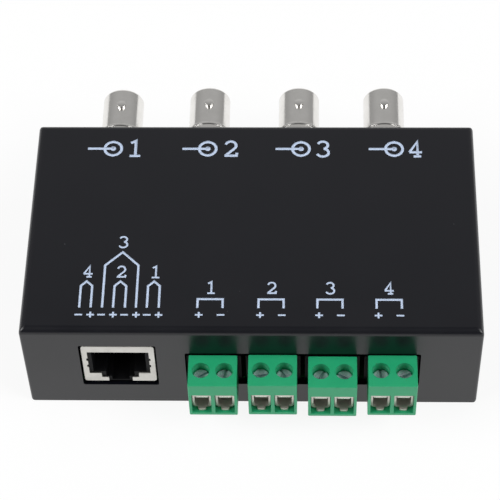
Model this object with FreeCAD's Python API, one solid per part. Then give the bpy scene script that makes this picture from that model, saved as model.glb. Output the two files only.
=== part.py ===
"""Four-channel passive video balun in a folded steel case.

The origin is the middle of the case's underside. +X is to the right as seen from
the terminal side, +Y points to the coaxial jacks, +Z is up. Millimetres.
"""
import FreeCAD
import Part
import math
import os

V = FreeCAD.Vector

# Case: a folded cover over a folded tray
case_width = 100.0
case_depth = 57.0
case_height = 28.0
sheet = 1.0
bend_radius = 1.2
corner_edge_radius = 0.5
seam_gap = 0.2
free_corner_radius = 1.3
tray_clearance = 0.15
tray_flange_height = 14.0
tray_flange_setback = 2.5
tray_flange_corner_radius = 2.0

# Countersunk screws that hold the cover to the tray, two on each side
case_screw_radius = 1.2
case_screw_length = 4.6
case_screw_head_radius = 2.25
case_screw_height = 10.6
case_screw_setback = 9.5
case_screw_clearance = 0.05
thread_collar_radius = 2.1
thread_collar_length = 1.1
recess_width = 0.7
recess_span = 2.6
recess_depth = 0.7

# Circuit board on four clinched standoffs
board_thickness = 1.6
board_top = 7.6
board_edge_gap = 2.9
board_end_gap = 0.8
board_corner_radius = 1.0
standoff_radius = 2.75
standoff_foot_radius = 2.1
standoff_foot_recess = 0.2
standoff_bore_radius = 1.25
standoff_inset_x = 3.6
standoff_inset_y = 8.5
board_screw_radius = 1.2
board_screw_length = 5.5
board_screw_head_radius = 2.2
board_screw_head_height = 1.6
board_hole_radius = 1.4
press_clearance = 0.03

# Coaxial jacks on the back: the outer two from the board's ends, the others evenly spaced but for an offset
jack_first_inset = 14.1
jack_last_inset = 16.1
jack_offsets = (0.0, 0.03, 0.57, 0.0)
jack_height = 17.0
jack_reach = 17.1
barrel_radius = 4.8
barrel_bore_radius = 4.05
barrel_bore_depth = 10.6
barrel_nose = 0.5
root_radius = 5.4
root_reach = 5.6
root_groove_width = 0.6
root_groove_depth = 0.45
jack_hole_clearance = 0.15
spigot_radius = 4.4
spigot_length = 3.2
lug_radius = 1.0
lug_span = 11.0
lug_setback = 5.2
insulator_radius = 2.35
insulator_seat_radius = 2.6
insulator_disc_thickness = 1.0
insulator_recess = 2.2
jack_contact_radius = 1.05
jack_contact_bore_radius = 0.68
jack_contact_bore_depth = 5.0
jack_contact_recess = 0.2
jack_contact_slot = 0.2
jack_pin_radius = 0.5
jack_pin_setback = 7.0
jack_body_width = 14.0
jack_body_depth = 13.4
jack_body_height = 16.2
jack_body_radius = 0.8
jack_peg_radius = 0.9
jack_peg_spacing = 10.0
jack_peg_setback = 4.0

# Shielded eight-way data socket on the front
socket_shift = 0.34
shield_width = 16.15
shield_height = 13.8
shield_depth = 16.0
shield_sheet = 0.3
shield_radius = 0.8
shield_recess = 0.3
shield_lift = 0.15
shield_tab_width = 1.6
shield_tab_setback = 8.0
window_width = 13.4
window_top = 19.3
window_shoulder = 11.1
step_width = 8.1
step_height = 9.3
latch_width = 5.1
notch_width = 0.5
notch_height = 1.1
notch_pitch = 3.0
socket_cutout_gap_x = 0.35
socket_cutout_gap_z = 0.7
socket_cutout_radius = 0.4
socket_opening_width = 11.8
socket_opening_top = 18.9
socket_opening_shoulder = 11.2
socket_opening_depth = 12.6
socket_step_width = 6.3
socket_latch_width = 3.9
socket_contact_count = 8
socket_contact_pitch = 1.02
socket_contact_width = 0.4
socket_contact_thickness = 0.35
socket_contact_tip_setback = 3.2
socket_contact_drop = 2.6
socket_leg_setback = 1.3

# Green plug-in screw terminals, two poles each
plug_count = 4
plug_shift = 0.29
plug_pitch = 13.0
plug_drop = (0.25, 0.0, 0.5, 0.0)
pole_pitch = 5.08
plug_width = 10.6
plug_height = 11.6
plug_depth = 8.0
plug_bottom = 7.45
plug_panel_gap = 0.1
plug_edge_radius = 0.25
plug_floor = 1.0
chamber_width = 4.3
chamber_height = 7.05
chamber_back_wall = 1.3
well_radius = 1.95
well_shoulder = 8.55
shank_hole_radius = 1.65
plug_neck_width = 10.1
plug_neck_bottom = 1.65
plug_neck_height = 6.5
plug_neck_reach = 9.2
neck_cavity_width = 2.4
neck_cavity_height = 2.9
slot_margin_x = 0.9
slot_bottom = 7.2
slot_top = 19.15
slot_radius = 0.5

# Rising clamp in each pole: captive screw, cage that rises, fixed contact
clamp_screw_radius = 1.5
clamp_head_radius = 1.8
clamp_head_height = 1.1
clamp_slot_width = 0.6
clamp_slot_depth = 0.6
clamp_slot_turns = (35.0, 75.0, 10.0, 120.0, 60.0, 150.0, 95.0, 25.0)
clamp_screw_tip = 5.05
clamp_thread_clearance = 0.04
clamp_travel = 2.0
cage_side_clearance = 0.1
cage_floor_clearance = 0.05
cage_depth = 4.4
cage_height = 4.9
cage_side = 0.45
cage_floor = 0.6
cage_top = 1.0
cage_lower_radius = 1.1
cage_upper_radius = 0.4
cage_lip_width = 1.8
cage_lip_length = 1.2
contact_width = 2.7
contact_thickness = 0.75
contact_bottom = 4.05
contact_front_setback = 0.2
contact_passage_clearance = 0.05
fork_width = 1.86
fork_wall = 0.4
fork_drop = 1.75
fork_reach = 7.8
contact_neck_reach = 0.9

# Pin headers on the board behind the terminal slot
header_width = 12.0
header_height = 9.2
header_depth = 12.0
header_panel_gap = 0.2
header_floor = 0.8
header_roof = 0.9
header_side = 0.75
header_back = 2.0
header_pin_size = 0.9
header_pin_height = 2.75
header_pin_tip_setback = 2.4
header_pin_leg_gap = 0.9
pin_tail_below_board = 1.4
pin_hole_clearance = 0.25

# Balun transformers and surge arresters on the board
transformer_width = 9.6
transformer_depth = 8.4
transformer_height = 7.4
transformer_radius = 0.9
transformer_gap = 3.0
arrester_radius = 2.0
arrester_length = 6.5
arrester_band = 0.7
arrester_offset = 6.9

# Places worked out from the sizes above
front_face = -case_depth / 2
back_face = case_depth / 2
front_inner = front_face + sheet
back_inner = back_face - sheet
side_inner = case_width / 2 - sheet
board_bottom = board_top - board_thickness
board_half_width = side_inner - board_edge_gap
board_half_depth = back_inner - board_end_gap
tail_bottom = board_bottom - pin_tail_below_board
standoff_x = board_half_width - standoff_inset_x
standoff_y = board_half_depth - standoff_inset_y
screw_inner_x = standoff_x - board_screw_head_radius
plug_row = (plug_count - 1) * plug_pitch
front_slack = 2 * screw_inner_x - shield_width - plug_row - header_width
socket_x = shield_width / 2 + front_slack / 4 - screw_inner_x - socket_shift
plug_last_x = screw_inner_x - front_slack / 4 - header_width / 2 - plug_shift
jack_first_x = jack_first_inset - board_half_width
jack_spacing = (board_half_width - jack_last_inset - jack_first_x) / (len(jack_offsets) - 1)
jack_x = [jack_first_x + index * jack_spacing + offset for index, offset in enumerate(jack_offsets)]
plug_back = front_face - plug_panel_gap
plug_front = plug_back - plug_depth
clamp_axis_y = plug_front + plug_depth / 2
header_front = front_inner + header_panel_gap
header_rear = header_front + header_depth
header_pin_z = board_top + header_pin_height
header_leg_y = header_rear + header_pin_leg_gap
jack_tip = back_face + jack_reach
jack_seat = back_inner
jack_pin_y = jack_seat - jack_pin_setback
shield_front = front_face + shield_recess
shield_rear = shield_front + shield_depth
shield_bottom = board_top + shield_lift
shield_top = shield_bottom + shield_height
socket_leg_y = shield_rear - shield_sheet - socket_leg_setback


def box(x0, x1, y0, y1, z0, z1):
    """Block between two opposite corners."""
    return Part.makeBox(x1 - x0, y1 - y0, z1 - z0, V(x0, y0, z0))


def rod_x(radius, x0, x1, y, z):
    """Cylinder along X."""
    return Part.makeCylinder(radius, x1 - x0, V(x0, y, z), V(1, 0, 0))


def rod_y(radius, x, y0, y1, z):
    """Cylinder along Y."""
    return Part.makeCylinder(radius, y1 - y0, V(x, y0, z), V(0, 1, 0))


def rod_z(radius, x, y, z0, z1):
    """Cylinder along Z."""
    return Part.makeCylinder(radius, z1 - z0, V(x, y, z0))


def prism(points, sweep):
    """Closed outline pushed along a vector."""
    outline = Part.makePolygon(points + [points[0]])
    return Part.Face(outline).extrude(sweep)


def turned_y(profile, x, z):
    """Outline of (radius, y) pairs turned round an axis along Y."""
    points = [V(x + radius, y, z) for radius, y in profile]
    face = Part.Face(Part.makePolygon(points + [points[0]]))
    return face.revolve(V(x, 0, z), V(0, 1, 0), 360)


def edges_along(shape, direction, wanted=lambda middle: True):
    """Straight edges that run along a direction and whose middle is wanted."""
    chosen = []
    for edge in shape.Edges:
        if not isinstance(edge.Curve, Part.Line):
            continue
        if abs(edge.tangentAt(edge.FirstParameter).dot(direction)) < 0.999:
            continue
        if wanted(edge.CenterOfMass):
            chosen.append(edge)
    return chosen


def rounded(shape, radius, direction, wanted=lambda middle: True):
    """Shape with the chosen straight edges rounded."""
    return shape.makeFillet(radius, edges_along(shape, direction, wanted))


def slot_block_y(x0, x1, y0, y1, z0, z1, radius):
    """Block with its four edges along Y rounded, for cut-outs in a panel."""
    return rounded(box(x0, x1, y0, y1, z0, z1), radius, V(0, 1, 0))


def fused(shapes):
    """All the shapes joined into one solid, with no seams left on flat faces."""
    whole = shapes[0]
    if len(shapes) > 1:
        whole = shapes[0].fuse(shapes[1:])
    return whole.removeSplitter()


def group(shapes):
    """Separate solids that share one node."""
    return Part.makeCompound(shapes)


def plug_x(index):
    """Middle of one terminal plug."""
    return plug_last_x - plug_row + index * plug_pitch


def poles():
    """Each pole in turn: its plug, the middle of the pole and the plug's bottom."""
    found = []
    for plug in range(plug_count):
        for side in (-0.5, 0.5):
            found.append((plug, plug_x(plug) + side * pole_pitch, plug_bottom - plug_drop[plug]))
    return found


def case_screw_places():
    """Side (-1 or 1) and Y of each cover screw."""
    reach = case_depth / 2 - case_screw_setback
    return [(side, y) for side in (-1, 1) for y in (-reach, reach)]


def standoff_places():
    """X and Y of each board standoff."""
    return [(x, y) for x in (-standoff_x, standoff_x) for y in (-standoff_y, standoff_y)]


def corner_cutter_xz(x_corner, side, y0, y1):
    """What is removed to round the lower corner of the front and back flaps."""
    r = free_corner_radius
    x_centre = x_corner - side * r
    x0, x1 = sorted((x_centre, x_corner + side))
    return box(x0, x1, y0, y1, -1.0, r).cut(rod_y(r, x_centre, y0, y1, r))


def corner_cutter_yz(y_corner, side, x0, x1):
    """What is removed to round the lower corner of a side wall."""
    r = free_corner_radius
    y_centre = y_corner - side * r
    y0, y1 = sorted((y_centre, y_corner))
    return box(x0, x1, y0, y1, -1.0, r).cut(rod_x(r, x0, x1, y_centre, r))


def case_cover():
    """Folded cover: top, front and back flaps, side walls, with all its cut-outs."""
    half = case_width / 2
    outer = box(-half, half, front_face, back_face, 0, case_height)
    outer = rounded(outer, corner_edge_radius, V(0, 0, 1))
    upper = [edge for edge in outer.Edges if edge.BoundBox.ZMin > case_height - 0.01]
    outer = outer.makeFillet(bend_radius, upper)
    cover = outer.cut(box(-side_inner, side_inner, front_inner, back_inner, -1, case_height - sheet))

    cuts = []
    seam_top = case_height - bend_radius
    for side in (-1, 1):
        x0, x1 = sorted((side * side_inner - side * 0.01, side * (half + 1)))
        for end in (-1, 1):
            flap_inner = end * (case_depth / 2 - sheet)
            y0, y1 = sorted((flap_inner, flap_inner - end * seam_gap))
            cuts.append(box(x0, x1, y0, y1, -1, seam_top))
            cuts.append(corner_cutter_yz(flap_inner - end * seam_gap, end, x0, x1))
            flap_y0, flap_y1 = sorted((flap_inner, end * (case_depth / 2 + 1)))
            cuts.append(corner_cutter_xz(side * half, side, flap_y0, flap_y1))
    cuts.append(socket_cutout())
    cuts.append(terminal_slot())
    hole = root_radius + jack_hole_clearance
    for x in jack_x:
        cuts.append(rod_y(hole, x, back_inner - 1, back_face + 1, jack_height))
    for side, y in case_screw_places():
        cuts.append(case_screw_seat(side, y))
    return cover.cut(cuts).removeSplitter()


def socket_cutout():
    """Cut-out in the front flap for the data socket."""
    half = shield_width / 2 + socket_cutout_gap_x
    return slot_block_y(socket_x - half, socket_x + half, front_face - 1, front_inner + 1,
                        shield_bottom - socket_cutout_gap_z, shield_top + socket_cutout_gap_z,
                        socket_cutout_radius)


def terminal_slot():
    """One long cut-out in the front flap for all the terminal plugs."""
    left = plug_x(0) - plug_width / 2 - slot_margin_x
    right = plug_x(plug_count - 1) + plug_width / 2 + slot_margin_x
    return slot_block_y(left, right, front_face - 1, front_inner + 1, slot_bottom, slot_top, slot_radius)


def case_screw_seat(side, y):
    """Countersunk hole through one side wall."""
    direction = V(-side, 0, 0)
    narrow = case_screw_radius + case_screw_clearance
    wide = case_screw_head_radius + case_screw_clearance
    start = V(side * case_width / 2, y, case_screw_height)
    cone_depth = wide - narrow
    cone = Part.makeCone(wide, narrow, cone_depth, start, direction)
    lead = Part.makeCylinder(wide, 1.0, start + V(side * 1.0, 0, 0), direction)
    hole = Part.makeCylinder(narrow, sheet + 1.0, start, direction)
    return fused([cone, lead, hole])


def case_screw(side, y):
    """Countersunk cross-head screw, its head flush with the side wall."""
    direction = V(-side, 0, 0)
    start = V(side * case_width / 2, y, case_screw_height)
    head_depth = case_screw_head_radius - case_screw_radius
    head = Part.makeCone(case_screw_head_radius, case_screw_radius, head_depth, start, direction)
    shank = Part.makeCylinder(case_screw_radius, case_screw_length, start, direction)
    screw = fused([head, shank])
    x0, x1 = sorted((side * (case_width / 2 - recess_depth), side * (case_width / 2 + 1)))
    z = case_screw_height
    arm, span = recess_width / 2, recess_span / 2
    upright = box(x0, x1, y - arm, y + arm, z - span, z + span)
    level = box(x0, x1, y - span, y + span, z - arm, z + arm)
    return screw.cut([upright, level])


def case_screws():
    """The four cover screws."""
    return group([case_screw(side, y) for side, y in case_screw_places()])


def base_tray():
    """Folded tray: floor with two turned-up flanges, tapped for the cover screws."""
    half = side_inner - tray_clearance
    length = back_inner - tray_clearance
    inner = half - sheet
    tray = box(-half, half, -length, length, 0, tray_flange_height)
    tray = rounded(tray, bend_radius, V(0, 1, 0), lambda m: m.z < sheet)
    tray = tray.cut(box(-inner, inner, -length - 1, length + 1, sheet, tray_flange_height + 1))
    flange_end = length - tray_flange_setback
    cuts = []
    for end in (-1, 1):
        y0, y1 = sorted((end * flange_end, end * (length + 1)))
        cuts.append(box(-half - 1, half + 1, y0, y1, bend_radius, tray_flange_height + 1))
    tray = tray.cut(cuts)
    tray = rounded(tray, tray_flange_corner_radius, V(1, 0, 0), lambda m: m.z > tray_flange_height - 0.01)
    holes = []
    for side, y in case_screw_places():
        collar_x0, collar_x1 = sorted((side * inner, side * (inner - thread_collar_length)))
        tray = tray.fuse(rod_x(thread_collar_radius, collar_x0, collar_x1, y, case_screw_height))
        hole_x0, hole_x1 = sorted((side * (inner - thread_collar_length - 1), side * (half + 1)))
        holes.append(rod_x(case_screw_radius + case_screw_clearance, hole_x0, hole_x1, y, case_screw_height))
    for x, y in standoff_places():
        holes.append(rod_z(standoff_foot_radius + press_clearance, x, y, -1, sheet + 1))
    return tray.cut(holes).removeSplitter()


def board_standoff(x, y):
    """Round clinched standoff with its foot in the tray's floor."""
    foot = rod_z(standoff_foot_radius, x, y, standoff_foot_recess, sheet)
    post = rod_z(standoff_radius, x, y, sheet, board_bottom)
    bore = rod_z(standoff_bore_radius, x, y, sheet, board_bottom + 1)
    return fused([foot, post]).cut(bore)


def board_screw(x, y):
    """Pan-head cross-recess screw through the board into its standoff."""
    head = rod_z(board_screw_head_radius, x, y, board_top, board_top + board_screw_head_height)
    top_edges = [edge for edge in head.Edges if edge.BoundBox.ZMin > board_top + board_screw_head_height - 0.01]
    head = head.makeFillet(board_screw_head_height / 2, top_edges)
    shank = rod_z(board_screw_radius, x, y, board_top - board_screw_length, board_top)
    top = board_top + board_screw_head_height
    arm, span = recess_width / 2, recess_span / 2
    upright = box(x - arm, x + arm, y - span, y + span, top - recess_depth, top + 1)
    level = box(x - span, x + span, y - arm, y + arm, top - recess_depth, top + 1)
    return fused([head, shank]).cut([upright, level])


def board_standoffs():
    """The four board standoffs."""
    return group([board_standoff(x, y) for x, y in standoff_places()])


def board_screws():
    """The four board screws."""
    return group([board_screw(x, y) for x, y in standoff_places()])


def circuit_board():
    """Drilled board that carries every connector."""
    board = box(-board_half_width, board_half_width, -board_half_depth, board_half_depth,
                board_bottom, board_top)
    board = rounded(board, board_corner_radius, V(0, 0, 1))
    drills = [(board_hole_radius, x, y) for x, y in standoff_places()]
    half_pin = header_pin_size / 2
    for _, x, _ in poles():
        drills.append((math.hypot(half_pin, half_pin) + press_clearance, x, header_leg_y))
    for x in socket_contact_places():
        drills.append((socket_contact_width / 2 + pin_hole_clearance, x, socket_leg_y))
    for side in (-1, 1):
        tab_x = socket_x + side * (shield_width - shield_sheet) / 2
        drills.append((shield_tab_width / 2 + press_clearance, tab_x, shield_front + shield_tab_setback))
    for x in jack_x:
        drills.append((jack_pin_radius + pin_hole_clearance, x, jack_pin_y))
        for side in (-1, 1):
            peg_x = x + side * jack_peg_spacing / 2
            drills.append((jack_peg_radius + press_clearance, peg_x, jack_seat - jack_peg_setback))
    return board.cut([rod_z(r, x, y, board_bottom - 1, board_top + 1) for r, x, y in drills])


def jack_shell(x):
    """Turned coaxial jack shell: root, barrel, nose and two bayonet lugs."""
    root_end = back_face + root_reach
    bore_floor = jack_tip - barrel_bore_depth
    groove_start = root_end - 2 * root_groove_width
    groove_radius = root_radius - root_groove_depth
    seat = insulator_seat_radius + press_clearance
    profile = [(seat, jack_seat - spigot_length), (spigot_radius, jack_seat - spigot_length),
               (spigot_radius, jack_seat), (root_radius, jack_seat),
               (root_radius, groove_start), (groove_radius, groove_start),
               (groove_radius, groove_start + root_groove_width),
               (root_radius, groove_start + root_groove_width),
               (root_radius, root_end), (barrel_radius, root_end),
               (barrel_radius, jack_tip - barrel_nose), (barrel_radius - barrel_nose / 2, jack_tip),
               (barrel_bore_radius, jack_tip), (barrel_bore_radius, bore_floor), (seat, bore_floor)]
    shell = turned_y(profile, x, jack_height)
    lug_y = jack_tip - lug_setback
    reach = lug_span / 2
    overlap = (barrel_radius + barrel_bore_radius) / 2
    upper = rod_z(lug_radius, x, lug_y, jack_height + overlap, jack_height + reach)
    lower = rod_z(lug_radius, x, lug_y, jack_height - reach, jack_height - overlap)
    return fused([shell, upper, lower])


def jack_insulator(x):
    """White insulating post with its disc on the floor of the bore."""
    bore_floor = jack_tip - barrel_bore_depth
    hole = jack_contact_radius + press_clearance
    disc_end = bore_floor + insulator_disc_thickness
    disc_radius = barrel_bore_radius - press_clearance
    front = jack_tip - insulator_recess
    profile = [(hole, jack_seat - spigot_length), (insulator_seat_radius, jack_seat - spigot_length),
               (insulator_seat_radius, bore_floor), (disc_radius, bore_floor),
               (disc_radius, disc_end), (insulator_radius, disc_end),
               (insulator_radius, front), (hole, front)]
    return turned_y(profile, x, jack_height)


def jack_contact(x):
    """Sprung centre socket, with its tail bent down to the board."""
    front = jack_tip - insulator_recess - jack_contact_recess
    sleeve = rod_y(jack_contact_radius, x, jack_pin_y - jack_pin_radius, front, jack_height)
    tail = rod_z(jack_pin_radius, x, jack_pin_y, tail_bottom, jack_height)
    contact = fused([sleeve, tail])
    bore_start = front - jack_contact_bore_depth
    half_slot = jack_contact_slot / 2
    r = jack_contact_radius + 0.1
    upright = box(x - half_slot, x + half_slot, bore_start, front + 1, jack_height - r, jack_height + r)
    level = box(x - r, x + r, bore_start, front + 1, jack_height - half_slot, jack_height + half_slot)
    bore = rod_y(jack_contact_bore_radius, x, bore_start, front + 1, jack_height)
    return contact.cut([bore, upright, level])


def jack_body(x):
    """Moulded block that holds the jack on the board."""
    half = jack_body_width / 2
    rear = jack_seat - jack_body_depth
    body = box(x - half, x + half, rear, jack_seat, board_top, board_top + jack_body_height)
    body = rounded(body, jack_body_radius, V(0, 1, 0), lambda m: m.z > board_top + 1)
    body = rounded(body, jack_body_radius, V(0, 0, 1), lambda m: m.y < rear + 1)
    pegs = []
    for side in (-1, 1):
        peg_x = x + side * jack_peg_spacing / 2
        pegs.append(rod_z(jack_peg_radius, peg_x, jack_seat - jack_peg_setback, board_bottom, board_top))
    body = fused([body] + pegs)
    spigot = rod_y(spigot_radius + press_clearance, x, jack_seat - spigot_length - press_clearance,
                   jack_seat + 1, jack_height)
    sleeve_radius = jack_contact_radius + press_clearance
    rear_of_contact = jack_pin_y - jack_pin_radius - press_clearance
    sleeve = rod_y(sleeve_radius, x, rear_of_contact, jack_seat, jack_height)
    tail = rod_z(jack_pin_radius + press_clearance, x, jack_pin_y, board_top - 1, jack_height)
    return body.cut([spigot, sleeve, tail])


def socket_contact_places():
    """X of each contact of the data socket."""
    first = socket_x - (socket_contact_count - 1) * socket_contact_pitch / 2
    return [first + index * socket_contact_pitch for index in range(socket_contact_count)]


def stepped_opening(widths, heights, top, y0, y1):
    """Opening with a wide upper part and two narrower steps below it, cut along Y."""
    wide, step, latch = (width / 2 for width in widths)
    shoulder, step_bottom, bottom = heights
    points = [V(socket_x - wide, y0, top), V(socket_x + wide, y0, top),
              V(socket_x + wide, y0, shoulder), V(socket_x + step, y0, shoulder),
              V(socket_x + step, y0, step_bottom), V(socket_x + latch, y0, step_bottom),
              V(socket_x + latch, y0, bottom), V(socket_x - latch, y0, bottom),
              V(socket_x - latch, y0, step_bottom), V(socket_x - step, y0, step_bottom),
              V(socket_x - step, y0, shoulder), V(socket_x - wide, y0, shoulder)]
    return prism(points, V(0, y1 - y0, 0))


def socket_shield():
    """Folded tinplate shield with its stepped window, side notches and board tabs."""
    half = shield_width / 2
    outer = slot_block_y(socket_x - half, socket_x + half, shield_front, shield_rear,
                         shield_bottom, shield_top, shield_radius)
    s = shield_sheet
    inner = slot_block_y(socket_x - half + s, socket_x + half - s, shield_front + s, shield_rear - s,
                         shield_bottom + s, shield_top - s, shield_radius - s)
    mouth = box(socket_x - half + shield_radius, socket_x + half - shield_radius,
                shield_front + s, shield_rear - s, shield_bottom - 1, shield_bottom + 2 * s)
    window = stepped_opening((window_width, step_width, latch_width),
                             (window_shoulder, step_height, shield_bottom - 1),
                             window_top, shield_front - 1, shield_front + s)
    cuts = [inner, mouth, window]
    notch_middle = (window_top + window_shoulder) / 2 + notch_pitch / 4
    for side in (-1, 1):
        edge = socket_x + side * window_width / 2
        x0, x1 = sorted((edge - side, edge + side * notch_width))
        for row in (-0.5, 0.5):
            z = notch_middle + row * notch_pitch
            cuts.append(box(x0, x1, shield_front - 1, shield_front + s, z - notch_height / 2,
                            z + notch_height / 2))
    shield = outer.cut(cuts)
    tabs = []
    tab_y = shield_front + shield_tab_setback
    for side in (-1, 1):
        x0, x1 = sorted((socket_x + side * (half - s), socket_x + side * half))
        tabs.append(box(x0, x1, tab_y - shield_tab_width / 2, tab_y + shield_tab_width / 2,
                        tail_bottom, shield_bottom + shield_radius))
    return fused([shield] + tabs)


def socket_contact(x, margin=0.0):
    """One sprung contact: sloping spring, then a leg down to the board."""
    t = socket_contact_thickness / 2 + margin
    tip_y = shield_front + socket_contact_tip_setback
    tip_z = socket_opening_top - 2 * socket_contact_thickness
    low_z = tip_z - socket_contact_drop
    leg_y = socket_leg_y
    bottom = tail_bottom - margin
    points = [V(0, tip_y - margin, tip_z + t), V(0, tip_y - margin, tip_z - t), V(0, leg_y - 2 * t, low_z - t),
              V(0, leg_y - t, low_z - t), V(0, leg_y - t, bottom), V(0, leg_y + t, bottom),
              V(0, leg_y + t, low_z + t), V(0, leg_y - 2 * t, low_z + t)]
    half = socket_contact_width / 2 + margin
    wire = prism(points, V(2 * half, 0, 0))
    wire.translate(V(x - half, 0, 0))
    return wire


def socket_housing():
    """Black moulding inside the shield, open at the front for the data plug."""
    half = shield_width / 2 - shield_sheet - press_clearance
    front = shield_front + shield_sheet + press_clearance
    rear = shield_rear - shield_sheet - press_clearance
    top = shield_top - shield_sheet - press_clearance
    radius = shield_radius - shield_sheet
    body = box(socket_x - half, socket_x + half, front, rear, shield_bottom + shield_sheet + press_clearance, top)
    body = rounded(body, radius, V(0, 1, 0))
    foot_half = shield_width / 2 - shield_radius - press_clearance
    foot = box(socket_x - foot_half, socket_x + foot_half, front, rear, board_top, top - 1)
    opening = stepped_opening((socket_opening_width, socket_step_width, socket_latch_width),
                              (socket_opening_shoulder, step_height, shield_bottom + shield_sheet),
                              socket_opening_top, front - 1, front + socket_opening_depth)
    cuts = [opening] + [socket_contact(x, press_clearance) for x in socket_contact_places()]
    return fused([body, foot]).cut(cuts)


def socket_contacts():
    """All eight contacts of the data socket."""
    return group([socket_contact(x) for x in socket_contact_places()])


def terminal_plug(plug):
    """Green moulding of one plug: two clamp chambers, screw wells and the neck."""
    x = plug_x(plug)
    z = plug_bottom - plug_drop[plug]
    half = plug_width / 2
    body = box(x - half, x + half, plug_front, plug_back, z, z + plug_height)
    body = body.makeFillet(plug_edge_radius, body.Edges)
    neck_half = plug_neck_width / 2
    neck_z = z + plug_neck_bottom
    neck_end = plug_back + plug_neck_reach
    neck = box(x - neck_half, x + neck_half, plug_back - 1, neck_end, neck_z, neck_z + plug_neck_height)
    moulding = fused([body, neck])

    chamber_half = chamber_width / 2
    chamber_back = plug_back - chamber_back_wall
    passage_half = contact_width / 2 + contact_passage_clearance
    cavity_half = neck_cavity_width / 2
    contact_z = z + contact_bottom
    top = contact_z + contact_thickness + contact_passage_clearance
    cuts = []
    for side in (-0.5, 0.5):
        pole_x = x + side * pole_pitch
        chamber = box(pole_x - chamber_half, pole_x + chamber_half, plug_front - 1, chamber_back,
                      z + plug_floor, z + plug_floor + chamber_height)
        cuts.append(chamber)
        cuts.append(rod_z(well_radius, pole_x, clamp_axis_y, z + well_shoulder, z + plug_height + 1))
        cuts.append(rod_z(shank_hole_radius, pole_x, clamp_axis_y, z + plug_floor + 1, z + plug_height))
        cuts.append(box(pole_x - passage_half, pole_x + passage_half, chamber_back - 1,
                        plug_back + contact_neck_reach, contact_z - contact_passage_clearance, top))
        cuts.append(box(pole_x - cavity_half, pole_x + cavity_half, plug_back - 0.2, neck_end + 1,
                        top - neck_cavity_height, top))
    return moulding.cut(cuts).removeSplitter()


def plug_contacts(plug):
    """The two fixed contacts of one plug: clamp plate in front, sprung fork behind."""
    z = plug_bottom - plug_drop[plug] + contact_bottom
    top = z + contact_thickness
    half = contact_width / 2
    fork_half = fork_width / 2
    inner_half = fork_half - fork_wall
    cage_front = clamp_axis_y - cage_depth / 2
    fork_start = plug_back + contact_neck_reach
    contacts = []
    for side in (-0.5, 0.5):
        x = plug_x(plug) + side * pole_pitch
        plate = box(x - half, x + half, cage_front + contact_front_setback, fork_start - contact_passage_clearance,
                    z, top)
        fork = box(x - fork_half, x + fork_half, plug_back, plug_back + fork_reach, z - fork_drop, top)
        gap = box(x - inner_half, x + inner_half, plug_back - 1, plug_back + fork_reach + 1, z - fork_drop - 1, z)
        contacts.append(fused([plate, fork.cut(gap)]))
    return group(contacts)


def clamp_cage(x, z):
    """Folded clamp cage of one pole, at the bottom of its travel."""
    half = chamber_width / 2 - cage_side_clearance
    bottom = z + plug_floor + cage_floor_clearance
    top = bottom + cage_height
    front = clamp_axis_y - cage_depth / 2
    rear = clamp_axis_y + cage_depth / 2
    outer = box(x - half, x + half, front, rear, bottom, top)
    outer = rounded(outer, cage_lower_radius, V(0, 1, 0), lambda m: m.z < bottom + 0.1)
    outer = rounded(outer, cage_upper_radius, V(0, 1, 0), lambda m: m.z > top - 0.1)
    inner_half = half - cage_side
    inner = box(x - inner_half, x + inner_half, front - 1, rear + 1, bottom + cage_floor, top - cage_top)
    inner = rounded(inner, cage_lower_radius - cage_side, V(0, 1, 0), lambda m: m.z < bottom + cage_floor + 0.1)
    thread = rod_z(clamp_screw_radius + clamp_thread_clearance, x, clamp_axis_y, top - cage_top - 1, top + 1)
    lip_half = cage_lip_width / 2
    lip = box(x - lip_half, x + lip_half, front - cage_lip_length, front + 0.5, bottom, bottom + cage_floor)
    lip = rounded(lip, lip_half / 2, V(0, 0, 1), lambda m: m.y < front - 0.5)
    return fused([outer.cut([inner, thread]), lip])


def clamp_screw(x, z, slot_turn):
    """Captive slotted screw of one pole, its head on the shoulder of the well."""
    seat = z + well_shoulder
    top = seat + clamp_head_height
    head = rod_z(clamp_head_radius, x, clamp_axis_y, seat, top)
    shank = rod_z(clamp_screw_radius, x, clamp_axis_y, z + clamp_screw_tip, seat)
    blade = box(-clamp_head_radius - 1, clamp_head_radius + 1, -clamp_slot_width / 2, clamp_slot_width / 2,
                top - clamp_slot_depth, top + 1)
    blade.rotate(V(0, 0, 0), V(0, 0, 1), slot_turn)
    blade.translate(V(x, clamp_axis_y, 0))
    return fused([head, shank]).cut(blade)


def pin_header(plug):
    """Shrouded header on the board that takes one plug."""
    x = plug_x(plug)
    half = header_width / 2
    shroud = box(x - half, x + half, header_front, header_rear, board_top, board_top + header_height)
    inner_half = half - header_side
    cavity = box(x - inner_half, x + inner_half, header_front - 1, header_rear - header_back,
                 board_top + header_floor, board_top + header_height - header_roof)
    size = header_pin_size / 2 + press_clearance
    holes = [cavity]
    for side in (-0.5, 0.5):
        pole_x = x + side * pole_pitch
        holes.append(box(pole_x - size, pole_x + size, header_front, header_rear + 1,
                         header_pin_z - size, header_pin_z + size))
    return shroud.cut(holes)


def header_pin(x):
    """Square pin bent down through the board behind its header."""
    size = header_pin_size / 2
    level = box(x - size, x + size, header_front + header_pin_tip_setback, header_leg_y + size,
                header_pin_z - size, header_pin_z + size)
    upright = box(x - size, x + size, header_leg_y - size, header_leg_y + size, tail_bottom, header_pin_z)
    pin = fused([level, upright])
    return rounded(pin, size, V(1, 0, 0), lambda m: m.y > header_leg_y and m.z > header_pin_z)


def header_pins():
    """All the pins of the four headers."""
    return group([header_pin(x) for _, x, _ in poles()])


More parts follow.
